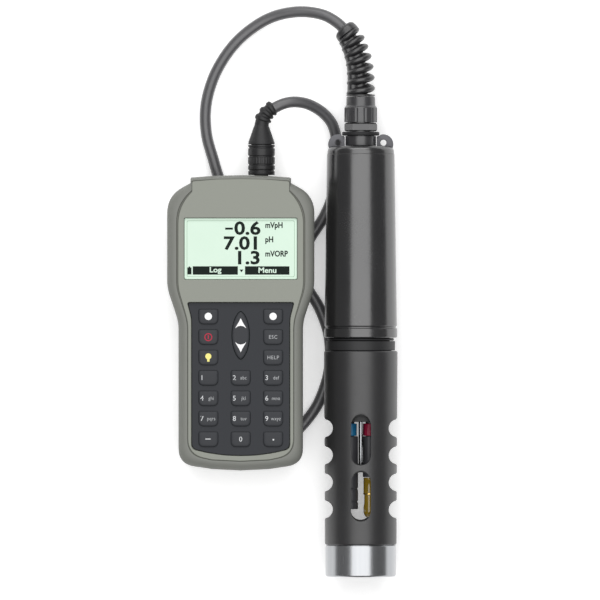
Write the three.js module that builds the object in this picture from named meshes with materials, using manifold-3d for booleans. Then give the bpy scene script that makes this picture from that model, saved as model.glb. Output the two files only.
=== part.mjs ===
// Portable multiparameter water meter: a handheld meter, its cable, and a submersible probe.
// Millimetres, +Z up. It lies flat: the meter faces up on the left with its cable passing under it,
// and the probe lies on its side on the right, nose towards -Y. Both long axes run along Y.

import * as THREE from 'three';
import { mergeVertices } from 'three/addons/utils/BufferGeometryUtils.js';
import Module from 'manifold-3d';

// Driving dimensions
const GAP = 0.3;

const METER = { x: -26.25, y: 20.4, back: 7.4, depth: 35 };
const HEAD_HALF_WIDTH = 46.4;
const GRIP_HALF_WIDTH = 39.25;
const CASE_HALF_LENGTH = 93.1;
const COLLAR_HALF_WIDTH = 31.7;
const CASE_WALL = 2.6;
const BACK_WALL = 4.5;
const SPLIT = { backTop: 15.6, gasketLow: 15.9, gasketHigh: 16.5, frontLow: 16.8 };
const FRONT_WALL_LOW = 30;
const INLAY_LEDGE = 31;

const WINDOW = { width: 71.4, height: 39, y: 46.7, low: 31.3, high: 33.6 };
const MAT = { low: 31.3, high: 33.4 };
const KEY = { width: 12.4, height: 9.5, low: 24, high: 34.6, clearance: 0.35 };
const KEY_COLUMNS = [-20.4, 0, 20.4];
const KEY_ROWS = [3.9, -9.0, -21.9, -34.7, -47.6, -60.4, -73.4];
const ROCKER = { y: -7.9, width: 11, height: 29.8, clearance: 0.45 };

const BATTERY = { radius: 7.1, length: 49, nub: 1.4, pitch: 14.75, y: -44.5, z: 11.8 };
const COVER = { halfWidth: 32, low: -75, high: -14 };
const BAY = { halfWidth: 30, low: -71, high: -18, roof: 19.2, wall: 1.4, ceiling: 0.8, lip: 0.4 };
const SCREWS = [[-38, 70], [38, 70], [-29.5, -82.5], [29.5, -82.5]];

const PLUG = { x: 13, axis: 12.6 };
const USB = { x: -20, axis: 9 };

const CABLE_RADIUS = 3.5;
const CABLE_SIDES = 8;
const CABLE_STEPS = 76;

const PROBE = { x: 49.45, axis: 23.2, round: 28 };
const GUARD = { mouth: -119.6, rim: 2.7, outerRadius: 23.2, mouthRadius: 22.6, bore: 19.8 };
const SCALLOP = { radius: 5.7, first: -46.1, pitch: 17.1, count: 4 };
const SLOTS = [-53.6, -89.0];
const SLOT = { width: 12.4, length: 30.6 };
const HEAD_FACE = -42;
const LUG = { x: 14.3, y: 133.1, radius: 6.3, thickness: 3.5, hole: 1.9 };

const FINISH = {
  case: { color: 0x97998f, roughness: 0.55 },
  black: { color: 0x262629, roughness: 0.45 },
  keypad: { color: 0x404146, roughness: 0.6 },
  rubber: { color: 0x1b1b1d, roughness: 0.8 },
  cable: { color: 0x58585b, roughness: 0.6 },
  lug: { color: 0x85868a, roughness: 0.5 },
  steel: { color: 0xb8babd, roughness: 0.3, metalness: 1 },
  display: { color: 0xdcefe2, roughness: 0.25 },
  window: { color: 0xe8f2ee, roughness: 0.1 },
  board: { color: 0x1f5a38, roughness: 0.5 },
  battery: { color: 0x3d4a57, roughness: 0.35 },
  blue: { color: 0x0f5f86, roughness: 0.5 },
  red: { color: 0x9a1f38, roughness: 0.5 },
  amber: { color: 0xb59a35, roughness: 0.15 },
};

const wasm = await Module();
wasm.setup();

// A geometry as a closed, merged mesh whose faces point out
function closed(geometry) {
  geometry.deleteAttribute('normal');
  geometry.deleteAttribute('uv');
  const merged = mergeVertices(geometry, 1e-4);
  const position = merged.getAttribute('position');
  const corners = merged.index.array;
  const kept = [];
  let volume = 0;
  for (let i = 0; i < corners.length; i += 3) {
    const [a, b, c] = corners.slice(i, i + 3);
    if (a === b || b === c || c === a) continue;
    const [p, q, r] = [a, b, c].map((n) => new THREE.Vector3().fromBufferAttribute(position, n));
    volume += p.dot(q.cross(r));
    kept.push([a, b, c]);
  }
  merged.setIndex(kept.flatMap(([a, b, c]) => (volume > 0 ? [a, b, c] : [a, c, b])));
  return merged;
}

function solid(geometry) {
  const merged = closed(geometry);
  return new wasm.Manifold(new wasm.Mesh({
    numProp: 3,
    vertProperties: merged.getAttribute('position').array,
    triVerts: new Uint32Array(merged.index.array),
  }));
}

function join(first, ...others) {
  return others.reduce((whole, other) => whole.add(other), first);
}

function cut(whole, ...tools) {
  return tools.reduce((rest, tool) => rest.subtract(tool), whole);
}

function geometryOf(shape) {
  const mesh = shape.getMesh();
  const geometry = new THREE.BufferGeometry();
  geometry.setAttribute('position', new THREE.Float32BufferAttribute(mesh.vertProperties, 3));
  geometry.setIndex([...mesh.triVerts]);
  geometry.computeVertexNormals();
  return geometry;
}

function box(x0, x1, y0, y1, z0, z1) {
  const geometry = new THREE.BoxGeometry(x1 - x0, y1 - y0, z1 - z0);
  return solid(geometry.translate((x0 + x1) / 2, (y0 + y1) / 2, (z0 + z1) / 2));
}

// A body turned about the Y axis from [radius, y] pairs that run round its section
function turned(profile, sides, turn = 0) {
  const points = profile.map(([radius, y]) => new THREE.Vector2(radius, y));
  if (profile[0][0] > 0) points.push(points[0].clone());
  return solid(new THREE.LatheGeometry(points, sides, turn));
}

function rodY(radius, y0, y1, x, z, sides = 12) {
  return turned([[0, y0], [radius, y0], [radius, y1], [0, y1]], sides).translate([x, 0, z]);
}

function rodZ(radius, z0, z1, x, y, sides = 12) {
  return turned([[0, z0], [radius, z0], [radius, z1], [0, z1]], sides)
    .rotate([90, 0, 0])
    .translate([x, y, 0]);
}

// Skins rings of equal count, each an array of Vector3, and closes both ends
function loft(rings) {
  const count = rings[0].length;
  const middles = [rings[0], rings.at(-1)].map((ring) => (
    ring.reduce((sum, point) => sum.add(point), new THREE.Vector3()).divideScalar(count)
  ));
  const points = [...rings.flat(), ...middles];
  const last = (rings.length - 1) * count;
  const index = [];
  for (let k = 0; k < count; k += 1) {
    const next = (k + 1) % count;
    for (let row = 0; row < last; row += count) {
      index.push(row + k, row + next, row + count + next);
      index.push(row + k, row + count + next, row + count + k);
    }
    index.push(points.length - 2, next, k);
    index.push(points.length - 1, last + k, last + next);
  }
  const geometry = new THREE.BufferGeometry().setFromPoints(points);
  geometry.setIndex(index);
  return solid(geometry);
}

// A round body along a curve, its radius given at each share of the length
function sweep(curve, radiusAt, sides, steps) {
  const { normals, binormals } = curve.computeFrenetFrames(steps, false);
  const rings = normals.map((normal, i) => {
    const middle = curve.getPointAt(i / steps);
    const radius = radiusAt(i / steps);
    return Array.from({ length: sides }, (_, k) => {
      const angle = (2 * Math.PI * k) / sides;
      return middle.clone()
        .addScaledVector(normal, radius * Math.cos(angle))
        .addScaledVector(binormals[i], radius * Math.sin(angle));
    });
  });
  return loft(rings);
}

// A closed outline of corners [x, y, reach], each rounded over its reach on both sides
function rounded(corners, steps) {
  return corners.flatMap(([x, y, reach], i) => {
    const corner = new THREE.Vector2(x, y);
    if (!reach) return [corner];
    const ends = [corners.at(i - 1), corners[(i + 1) % corners.length]].map(([u, v]) => (
      new THREE.Vector2(u, v).sub(corner).setLength(reach).add(corner)
    ));
    return new THREE.QuadraticBezierCurve(ends[0], corner, ends[1]).getPoints(steps);
  });
}

function mirrored(half) {
  const inner = half.filter(([x]) => x !== 0).reverse();
  return [...half, ...inner.map(([x, y, reach]) => [-x, y, reach])];
}

function slab(outline, z0, z1) {
  const shape = new THREE.Shape(outline);
  const geometry = new THREE.ExtrudeGeometry(shape, { depth: z1 - z0, bevelEnabled: false });
  return solid(geometry.translate(0, 0, z0));
}

// Outline of the meter's case, drawn in by an inset: collar, sloping shoulders, wide head, slim grip
function caseOutline(inset) {
  const top = CASE_HALF_LENGTH - inset;
  const head = HEAD_HALF_WIDTH - inset;
  const grip = GRIP_HALF_WIDTH - inset;
  const collar = COLLAR_HALF_WIDTH - 0.6 * inset;
  return rounded(mirrored([
    [0, top, 0],
    [16, top - 0.4, 0],
    [collar, top - 1.5, 1],
    [collar, top - 5 - 0.15 * inset, 0],
    [head, top - 13, 11],
    [head, 22, 5],
    [grip, 0.5, 5],
    [grip, 4.1 - top, 10],
    [18, 0.9 - top, 0],
    [0, -top, 0],
  ]), 4);
}

function caseBody(sections) {
  return loft(sections.map(([z, inset]) => (
    caseOutline(inset).map(({ x, y }) => new THREE.Vector3(x, y, z))
  )));
}

function keypadOutline(inset) {
  return rounded(mirrored([
    [0, 13.1 - inset, 0],
    [33.9 - inset, 13.1 - inset, 2],
    [31.2 - inset, 3.05, 3],
    [31.2 - inset, -79.4 + inset, 4],
    [0, -83.8 + inset, 0],
  ]), 3);
}

function windowOutline(grow) {
  const x = WINDOW.width / 2 + grow;
  const low = WINDOW.y - WINDOW.height / 2 - grow;
  const high = WINDOW.y + WINDOW.height / 2 + grow;
  return rounded([[x, high, 1.5], [x, low, 1.5], [-x, low, 1.5], [-x, high, 1.5]], 1);
}

function keyOutline(x, y, grow) {
  const dx = KEY.width / 2 + grow;
  const dy = KEY.height / 2 + grow;
  return rounded([
    [x + dx, y + dy, 1.6],
    [x + dx, y - dy, 3.6],
    [x - dx, y - dy, 3.6],
    [x - dx, y + dy, 1.6],
  ], 2);
}

// Almond shape of the arrow key: two arcs that meet at its tips
function rockerOutline(grow) {
  const dx = ROCKER.width / 2 + grow;
  const dy = ROCKER.height / 2 + grow;
  return Array.from({ length: 16 }, (_, k) => {
    const angle = (2 * Math.PI * k) / 16;
    const reach = Math.sin(angle);
    return new THREE.Vector2(dx * Math.cos(angle), ROCKER.y + dy * reach);
  });
}

const instrument = new THREE.Group();
const meter = new THREE.Group();
meter.position.set(METER.x, METER.y, METER.back);
const probe = new THREE.Group();
probe.position.set(PROBE.x, 0, PROBE.axis);
instrument.add(meter, probe);

function add(group, name, shape, finish) {
  const mesh = new THREE.Mesh(geometryOf(shape), new THREE.MeshStandardMaterial(FINISH[finish]));
  mesh.name = name;
  group.add(mesh);
}

// Keys: [name, column, row]
const KEYS = [
  ['soft_key_left', 0, 0],
  ['soft_key_right', 2, 0],
  ['power_key', 0, 1],
  ['escape_key', 2, 1],
  ['light_key', 0, 2],
  ['help_key', 2, 2],
  ...Array.from({ length: 9 }, (_, k) => [`key_${k + 1}`, k % 3, 3 + Math.floor(k / 3)]),
  ['key_minus', 0, 6],
  ['key_0', 1, 6],
  ['key_point', 2, 6],
].map(([name, column, row]) => ({ name, x: KEY_COLUMNS[column], y: KEY_ROWS[row] }));

// Case: two shells with a gasket between them, opened for the inlays, sockets and screws
function cablePortCuts() {
  return [
    rodY(7.7, 84, 96, PLUG.x, PLUG.axis, 16),
    box(USB.x - 4.8, USB.x + 4.8, 84, 92, USB.axis - 2.4, USB.axis + 2.4),
    box(USB.x - 6.5, USB.x + 6.5, 90.9, 96, USB.axis - 3.4, USB.axis + 3.4),
  ];
}

function frontShell() {
  const outside = caseBody([
    [SPLIT.frontLow, 0.5],
    [SPLIT.frontLow + 1, 0],
    [29, 0],
    [32.8, 1.2],
    [34.4, 3.2],
    [METER.depth, 5.4],
  ]);
  const cavity = caseBody([
    [SPLIT.frontLow - 1, CASE_WALL],
    [28.2, CASE_WALL],
    [FRONT_WALL_LOW, CASE_WALL + 2],
  ]);
  const bosses = SCREWS.map(([x, y]) => rodZ(3.4, SPLIT.frontLow, 30.5, x, y, 10));
  const inlays = [
    slab(windowOutline(GAP), INLAY_LEDGE, METER.depth + 1),
    slab(windowOutline(-1.5), FRONT_WALL_LOW - 1, METER.depth),
    slab(keypadOutline(-GAP), INLAY_LEDGE, METER.depth + 1),
    slab(keypadOutline(1.1), FRONT_WALL_LOW - 1, METER.depth),
  ];
  const pilots = SCREWS.map(([x, y]) => rodZ(1.7, 16, 27, x, y, 8));
  return cut(join(cut(outside, cavity), ...bosses), ...inlays, ...pilots, ...cablePortCuts());
}

function backShell() {
  const outside = caseBody([
    [0, 6],
    [1, 3],
    [4, 0.8],
    [8, 0],
    [SPLIT.backTop - 0.8, 0],
    [SPLIT.backTop, 0.5],
  ]);
  const cavity = caseBody([[BACK_WALL, CASE_WALL + 1], [8, CASE_WALL], [SPLIT.backTop + 1, CASE_WALL]]);
  const w = BAY.halfWidth;
  const outer = w + BAY.wall;
  const mouth = w - BAY.lip;
  const bay = cut(
    box(-outer, outer, BAY.low - BAY.wall, BAY.high + BAY.wall, 3.5, BAY.roof + BAY.ceiling),
    box(-w, w, BAY.low, BAY.high, 3, BAY.roof),
  );
  const bosses = SCREWS.map(([x, y]) => rodZ(3.4, 4, SPLIT.backTop, x, y, 10));
  const screwHoles = SCREWS.flatMap(([x, y]) => [
    rodZ(1.7, 3, 16, x, y, 8),
    rodZ(3.1, -1, 4, x, y, 10),
  ]);
  const coverCuts = [
    box(-COVER.halfWidth, COVER.halfWidth, COVER.low, COVER.high, -1, 3),
    box(-mouth, mouth, BAY.low + BAY.lip, BAY.high - BAY.lip, -1, 5),
  ];
  return cut(join(cut(outside, cavity), bay, ...bosses), ...screwHoles, ...coverCuts, ...cablePortCuts());
}

function caseGasket() {
  const outside = caseBody([[SPLIT.gasketLow, 0.8], [SPLIT.gasketHigh, 0.8]]);
  const inside = caseBody([[SPLIT.gasketLow - 1, 2.3], [SPLIT.gasketHigh + 1, 2.3]]);
  return cut(outside, inside, ...cablePortCuts());
}

add(meter, 'meter_front_shell', frontShell(), 'case');
add(meter, 'meter_back_shell', backShell(), 'case');
add(meter, 'case_gasket', caseGasket(), 'rubber');

// Front inlays and the boards behind them
add(meter, 'display_window', slab(windowOutline(0), WINDOW.low, WINDOW.high), 'window');
add(meter, 'lcd_panel', box(-34.5, 34.5, 26.5, 67, 25, 29.5), 'display');
add(meter, 'main_circuit_board', join(
  box(-28, 28, -74, 78, 20.4, 22),
  box(-9, 9, 20, 38, 21.9, 23.6),
  box(12, 22, 44, 58, 21.9, 23.2),
), 'board');

const keyHoles = KEYS.map(({ x, y }) => keyOutline(x, y, KEY.clearance));
keyHoles.push(rockerOutline(ROCKER.clearance));
add(meter, 'keypad_mat', cut(
  slab(keypadOutline(0), MAT.low, MAT.high),
  ...keyHoles.map((hole) => slab(hole, MAT.low - 1, MAT.high + 1)),
), 'keypad');
for (const { name, x, y } of KEYS) {
  add(meter, name, slab(keyOutline(x, y, 0), KEY.low, KEY.high), 'keypad');
}
add(meter, 'arrow_rocker_key', slab(rockerOutline(0), KEY.low + 2, KEY.high), 'keypad');

// Battery bay: four AA cells behind a gasketed cover
function battery(column) {
  const { radius, length, nub, y, z, pitch } = BATTERY;
  const half = length / 2;
  const cell = turned([
    [0, -half],
    [radius, -half],
    [radius, half],
    [2.6, half],
    [2.6, half + nub],
    [0, half + nub],
  ], 14);
  const flipped = column % 2 ? cell.rotate([0, 0, 180]) : cell;
  return flipped.translate([(column - 1.5) * pitch, y, z]);
}

for (let column = 0; column < 4; column += 1) {
  add(meter, `battery_${column + 1}`, battery(column), 'battery');
}
const coverEdge = COVER.halfWidth - GAP;
add(meter, 'battery_cover', cut(
  box(-coverEdge, coverEdge, COVER.low + GAP, COVER.high - GAP, 0.2, 1.9),
  box(-12, 12, COVER.high - 9, COVER.high - 4, -0.5, 0.9),
), 'case');
add(meter, 'battery_cover_gasket', cut(
  box(-31.4, 31.4, COVER.low + 0.9, COVER.high - 0.9, 2.2, 2.7),
  box(-30.2, 30.2, COVER.low + 2.6, COVER.high - 2.6, 2, 3),
), 'rubber');
SCREWS.forEach(([x, y], i) => {
  const screw = join(rodZ(2.7, 1.6, 3.6, x, y, 10), rodZ(1.35, 3.5, 25, x, y, 8));
  add(meter, `case_screw_${i + 1}`, screw, 'steel');
});

// Sockets in the meter's top wall
add(meter, 'probe_socket', turned([
  [0, 78],
  [7.4, 78],
  [7.4, 92.6],
  [4.8, 92.6],
  [4.8, 81],
  [0, 81],
], 16).translate([PLUG.x, 0, PLUG.axis]), 'black');
add(meter, 'usb_socket', cut(
  box(USB.x - 5.4, USB.x + 5.4, 80, 88.3, USB.axis - 3.2, USB.axis + 3.2),
  box(USB.x - 4.2, USB.x + 4.2, 84, 90, USB.axis - 2, USB.axis + 2),
), 'steel');
add(meter, 'usb_port_cap', join(
  box(USB.x - 6.2, USB.x + 6.2, 91.2, 92, USB.axis - 3.1, USB.axis + 3.1),
  box(USB.x - 3.8, USB.x + 3.8, 86.5, 91.4, USB.axis - 1.6, USB.axis + 1.6),
), 'rubber');

// Plug: nose, core and cone, with a moulded relief that bends towards the probe
const plugX = METER.x + PLUG.x;
const plugZ = METER.back + PLUG.axis;
const RELIEF = { start: 143.5, bend: 14.7, turns: [0, 15, 30, 45, 56, 60] };
const reliefPoints = RELIEF.turns.map(THREE.MathUtils.degToRad).map((turn) => new THREE.Vector3(
  plugX + RELIEF.bend * (1 - Math.cos(turn)),
  RELIEF.start + RELIEF.bend * Math.sin(turn),
  plugZ,
));
const reliefCurve = new THREE.CatmullRomCurve3(
  [new THREE.Vector3(plugX, 140.2, plugZ), ...reliefPoints],
  false,
  'centripetal',
);

const plugCore = turned([
  [0, 103.4],
  [4.4, 103.4],
  [4.4, 113.9],
  [6.5, 113.9],
  [6.5, 133.1],
  [8.4, 133.1],
  [8.4, 134.2],
  [4.7, 140.6],
  [0, 140.6],
], 16).translate([plugX, 0, plugZ]);
add(instrument, 'plug_body', join(plugCore, sweep(reliefCurve, (t) => 4.7 - 0.6 * t, 10, 7)), 'black');
add(instrument, 'plug_lock_ring', turned([
  [6.8, 114],
  [8.5, 114],
  [8.5, 118.4],
  [8.0, 118.8],
  [8.0, 121.4],
  [8.5, 121.8],
  [8.5, 132.8],
  [6.8, 132.8],
], 18).translate([plugX, 0, plugZ]), 'black');

// Cable: it leaves the probe's relief, loops over to the left, runs down under the meter, turns
// back, follows the probe and climbs to the plug's relief
const CABLE_ROUTE = [
  [38.9, 205.8, 19.8],
  [35.5, 209.25, 18.8],
  [27.2, 214.4, 16.4],
  [15.8, 216.9, 13.0],
  [4.3, 216.5, 9.8],
  [-7.4, 213.4, 6.6],
  [-18.3, 207.3, 4.7],
  [-28.9, 198.3, 3.75],
  [-37.5, 187.2, 3.55],
  [-44.2, 174.1, 3.55],
  [-48.45, 157.5, 3.55],
  [-48.1, 140.0, 3.55],
  [-43.0, 121.0, 3.55],
  [-37.0, 98.0, 3.55],
  [-37.4, 55.0, 3.55],
  [-39.6, 10.0, 3.55],
  [-39.7, -30.0, 3.55],
  [-35.0, -46.8, 3.55],
  [-23.6, -57.8, 3.55],
  [-8.4, -59.3, 3.55],
  [6.2, -50.6, 3.55],
  [20.1, -34.9, 3.55],
  [26.2, -22.0, 3.55],
  [29.8, -7.0, 3.55],
  [29.4, 12.0, 3.55],
  [23.6, 29.3, 3.55],
  [15.0, 44.5, 3.55],
  [13.1, 57.0, 3.55],
  [15.6, 70.0, 3.55],
  [26.9, 88.6, 3.55],
  [31.7, 101.5, 3.55],
  [33.6, 131.0, 3.6],
  [33.7, 138.9, 4.2],
  [31.4, 146.2, 6.1],
  [27.6, 151.3, 8.5],
  [21.9, 155.8, 11.7],
  [14.4, 159.1, 15.4],
  [6.2, 159.9, 18.4],
  [-0.1, 158.5, 19.8],
  [-5.1, 156.1, 20.0],
];
const cableCurve = new THREE.CatmullRomCurve3(
  CABLE_ROUTE.map((point) => new THREE.Vector3(...point)),
  false,
  'centripetal',
);
const cableSection = new THREE.Shape(Array.from({ length: CABLE_SIDES }, (_, k) => {
  const angle = (2 * Math.PI * k) / CABLE_SIDES;
  return new THREE.Vector2(CABLE_RADIUS * Math.cos(angle), CABLE_RADIUS * Math.sin(angle));
}));
add(instrument, 'cable', solid(new THREE.ExtrudeGeometry(cableSection, {
  steps: CABLE_STEPS,
  extrudePath: cableCurve,
  bevelEnabled: false,
})), 'cable');

// Probe, cable end: spiral relief, gland nut, gland body and its washer
const BOOT_CURVE = new THREE.CatmullRomCurve3([
  [49.45, 163.6, 23.2],
  [49.45, 172.0, 23.2],
  [49.2, 179.0, 23.15],
  [48.1, 186.5, 22.8],
  [46.2, 193.0, 22.2],
  [43.6, 199.2, 21.2],
  [41.2, 203.1, 20.4],
  [39.3, 205.4, 19.9],
].map((point) => new THREE.Vector3(...point)), false, 'centripetal');
add(instrument, 'cable_boot', sweep(BOOT_CURVE, (t) => 8.7 - 2.6 * t, 12, 9), 'black');

add(probe, 'gland_nut', turned([
  [8.6, 146.9],
  [10.4, 146.9],
  [10.4, 156.4],
  [9.2, 157.2],
  [9.2, 163.3],
  [4.5, 163.3],
  [4.5, 152.4],
  [8.6, 152.4],
], 18), 'black');
add(probe, 'gland_body', join(
  turned([
    [4.2, 132.2],
    [9.6, 132.2],
    [9.6, 138.3],
    [8.5, 138.3],
    [8.5, 141.5],
    [8.3, 141.5],
    [8.3, 152.1],
    [4.2, 152.1],
  ], 18),
  turned([[4.2, 141.3], [10.25, 141.3], [10.25, 146.6], [4.2, 146.6]], 6, Math.PI / 6),
), 'black');
add(probe, 'gland_washer', turned([
  [8.8, 138.6],
  [11.75, 138.6],
  [11.75, 141],
  [8.8, 141],
], 20), 'rubber');

// Probe, body: end cap with two lanyard lugs, housing with its board, O-ring and sensor head
function endCap() {
  const body = turned([
    [4.2, 118],
    [18.3, 118],
    [18.3, 127.3],
    [21.1, 127.3],
    [20.4, 131.9],
    [4.2, 131.9],
  ], PROBE.round);
  const half = LUG.thickness / 2;
  const lugs = [-1, 1].map((side) => cut(
    join(
      rodZ(LUG.radius, -half, half, side * LUG.x, LUG.y, 16),
      box(side * LUG.x - 6, side * LUG.x + 6, 128, LUG.y, -half, half),
    ),
    rodY(10, 131.9, 138.4, 0, 0, 20),
    rodY(12.1, 138.3, 145, 0, 0, 20),
  ));
  const holes = [-1, 1].map((side) => rodZ(LUG.hole, -4, 4, side * LUG.x, LUG.y + 1, 10));
  return cut(join(body, ...lugs), ...holes);
}

add(probe, 'probe_end_cap', endCap(), 'lug');
add(probe, 'probe_upper_housing', turned([
  [18.6, 10.95],
  [23.1, 10.95],
  [23.1, 17.5],
  [21.4, 123],
  [21.2, 127],
  [18.6, 127],
], PROBE.round), 'black');
add(probe, 'probe_circuit_board', join(
  box(-13, 13, 46, 114, -0.8, 0.8),
  box(-5, 5, 60, 72, 0.7, 2.6),
), 'board');
add(probe, 'probe_o_ring', turned(Array.from({ length: 6 }, (_, k) => {
  const angle = (Math.PI * k) / 3;
  return [20.2 + 0.8 * Math.cos(angle), 9.9 + 0.8 * Math.sin(angle)];
}), 24), 'rubber');

const EC = { x: -6.6, z: 0, radius: 4.9 };
const PH = { x: 5.6, z: -1, radius: 4.3 };
const TEMPERATURE = { x: 0.05, z: 4, radius: 1.45 };
const STEM_RADIUS = 2.6;
const STEM_TOP = -30;
const BODY_TOP = -51.2;

add(probe, 'sensor_head', cut(
  turned([
    [0, 40],
    [18.2, 40],
    [18.2, 8.9],
    [21.7, 8.9],
    [21.7, 3],
    [19.4, 3],
    [19.4, -12],
    [18.8, -12.5],
    [18.8, HEAD_FACE],
    [0, HEAD_FACE],
  ], PROBE.round),
  ...[EC, PH].map(({ x, z }) => rodY(STEM_RADIUS + GAP, HEAD_FACE - 1, STEM_TOP + 2, x, z)),
  rodY(TEMPERATURE.radius + GAP, HEAD_FACE - 1, STEM_TOP + 2, TEMPERATURE.x, TEMPERATURE.z),
), 'black');

// Sensors: each plugs into the head by its stem, with a coloured collar round it
function sensor({ x, z, radius }, bottom) {
  return turned([
    [0, bottom],
    [radius - 0.8, bottom],
    [radius, bottom + 0.8],
    [radius, BODY_TOP],
    [STEM_RADIUS, BODY_TOP],
    [STEM_RADIUS, STEM_TOP],
    [0, STEM_TOP],
  ], 16).translate([x, 0, z]);
}

function collar({ x, z }, radius) {
  const top = HEAD_FACE - 1.2;
  const profile = [[2.9, BODY_TOP + GAP], [radius, BODY_TOP + GAP], [radius, top], [2.9, top]];
  return turned(profile, 16).translate([x, 0, z]);
}

add(probe, 'ec_sensor', sensor(EC, -97.2), 'black');
add(probe, 'ec_sensor_collar', collar(EC, 4.1), 'blue');
add(probe, 'ph_sensor', sensor(PH, -77), 'black');
add(probe, 'ph_sensor_collar', collar(PH, 4.1), 'red');
add(probe, 'ph_glass_bulb', turned([
  [0, -103],
  [2.4, -102],
  [3.9, -98.5],
  [3.9, -77.3],
  [0, -77.3],
], 14).translate([PH.x, 0, PH.z]), 'amber');
add(probe, 'temperature_probe', rodY(
  TEMPERATURE.radius,
  -71,
  STEM_TOP,
  TEMPERATURE.x,
  TEMPERATURE.z,
  10,
), 'steel');

// Guard: a screwed-on sleeve with flow slots through it and round notches down both sides
function guard() {
  const sleeve = turned([
    [GUARD.bore, GUARD.mouth],
    [GUARD.mouthRadius, GUARD.mouth],
    [GUARD.outerRadius, 0],
    [GUARD.outerRadius - 0.5, GUARD.rim],
    [GUARD.bore, GUARD.rim],
  ], PROBE.round);
  const notches = Array.from({ length: SCALLOP.count }, (_, k) => (
    [-1, 1].map((side) => rodZ(
      SCALLOP.radius,
      -30,
      30,
      side * (GUARD.outerRadius + 0.1),
      SCALLOP.first - k * SCALLOP.pitch,
      14,
    ))
  )).flat();
  const half = SLOT.length / 2 - SLOT.width / 2;
  const slots = SLOTS.flatMap((y) => [
    box(-SLOT.width / 2, SLOT.width / 2, y - half, y + half, -30, 30),
    rodZ(SLOT.width / 2, -30, 30, 0, y - half, 14),
    rodZ(SLOT.width / 2, -30, 30, 0, y + half, 14),
  ]);
  return cut(sleeve, ...notches, ...slots);
}

add(probe, 'guard', guard(), 'black');
add(probe, 'guard_weight_ring', turned([
  [18.2, -139.7],
  [21.6, -139.7],
  [22.3, -139],
  [22.3, -119.9],
  [19.5, -119.9],
  [19.5, -113],
  [18.2, -113],
], PROBE.round), 'steel');

export default instrument;
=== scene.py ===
"""A handheld water meter and its submersible probe, lying on a white table, joined by one cable."""

import bmesh
import bpy
import numpy as np
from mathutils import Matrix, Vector
from mathutils.geometry import tessellate_polygon


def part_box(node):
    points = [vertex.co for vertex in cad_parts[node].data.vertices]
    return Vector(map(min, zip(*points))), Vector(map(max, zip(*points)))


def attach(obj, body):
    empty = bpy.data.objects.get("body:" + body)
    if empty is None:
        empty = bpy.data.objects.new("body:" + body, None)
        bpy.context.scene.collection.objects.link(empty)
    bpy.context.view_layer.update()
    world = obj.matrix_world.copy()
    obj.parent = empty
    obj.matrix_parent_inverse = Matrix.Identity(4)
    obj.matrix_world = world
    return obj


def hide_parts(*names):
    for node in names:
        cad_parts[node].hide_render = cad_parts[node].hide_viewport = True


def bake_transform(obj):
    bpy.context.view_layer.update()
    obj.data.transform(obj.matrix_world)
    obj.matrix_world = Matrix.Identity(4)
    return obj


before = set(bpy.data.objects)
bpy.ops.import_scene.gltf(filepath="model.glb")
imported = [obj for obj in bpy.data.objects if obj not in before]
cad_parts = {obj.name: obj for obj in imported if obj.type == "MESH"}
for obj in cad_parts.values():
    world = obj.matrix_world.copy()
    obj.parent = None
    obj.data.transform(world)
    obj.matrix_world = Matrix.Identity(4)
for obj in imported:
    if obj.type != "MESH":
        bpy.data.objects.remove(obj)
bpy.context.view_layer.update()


# ---------------------------------------------------------------- Camera, table and light
# A long lens looks straight down on the table. One wide softbox hangs over the camera and draws
# the bright stripe along the probe; another, past the cable end, throws the soft shadows.
VIEW_CENTRE = (0.0111, 0.0348)
VIEW_WIDTH = 0.378
CAMERA_HEIGHT = 8.04
SHARP_HEIGHT = 0.04
SENSOR = 36.0

camera = bpy.data.objects.new("camera", bpy.data.cameras.new("camera"))
camera.data.sensor_width = SENSOR
camera.data.lens = SENSOR * (CAMERA_HEIGHT - SHARP_HEIGHT) / VIEW_WIDTH
camera.data.clip_end = 20.0
camera.location = (*VIEW_CENTRE, CAMERA_HEIGHT)
bpy.context.scene.collection.objects.link(camera)
bpy.context.scene.camera = camera
bpy.context.scene.view_settings.view_transform = "Standard"


def softbox(name, place, target, size, power):
    """A rectangular area light at place, turned to face target."""
    lamp = bpy.data.objects.new(name, bpy.data.lights.new(name, "AREA"))
    lamp.data.shape = "RECTANGLE"
    lamp.data.size, lamp.data.size_y = size
    lamp.data.energy = power
    lamp.location = place
    aim = Vector(target) - Vector(place)
    lamp.rotation_euler = aim.to_track_quat("-Z", "Y").to_euler()
    lamp.visible_camera = False
    bpy.context.scene.collection.objects.link(lamp)


softbox("overhead_softbox", (0.05, 0.1, 1.5), (0.05, 0.1, 0.0), (1.8, 2.6), 30.0)
softbox("far_softbox", (-0.1, 1.7, 1.0), (0.0, 0.0, 0.0), (1.8, 0.8), 15.0)

world = bpy.data.worlds.new("studio")
world.use_nodes = True
world.node_tree.nodes["Background"].inputs["Color"].default_value = (1.0, 1.0, 1.0, 1.0)
world.node_tree.nodes["Background"].inputs["Strength"].default_value = 0.2
bpy.context.scene.world = world


class Value:
    """A shader socket that arithmetic works on: each operator adds one Math node."""

    def __init__(self, tree, socket):
        self.tree = tree
        self.socket = socket

    def math(self, operation, *operands):
        node = self.tree.nodes.new("ShaderNodeMath")
        node.operation = operation
        for socket, operand in zip(node.inputs, operands):
            connect(self.tree, socket, operand)
        return Value(self.tree, node.outputs[0])

    def __add__(self, other):
        return self.math("ADD", self, other)

    def __sub__(self, other):
        return self.math("SUBTRACT", self, other)

    def __rsub__(self, other):
        return self.math("SUBTRACT", other, self)

    def __mul__(self, other):
        return self.math("MULTIPLY", self, other)

    __radd__ = __add__
    __rmul__ = __mul__


def connect(tree, socket, value):
    """Links a Value to a socket, or sets the socket to a plain value."""
    if isinstance(value, Value):
        tree.links.new(value.socket, socket)
    else:
        socket.default_value = value


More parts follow.
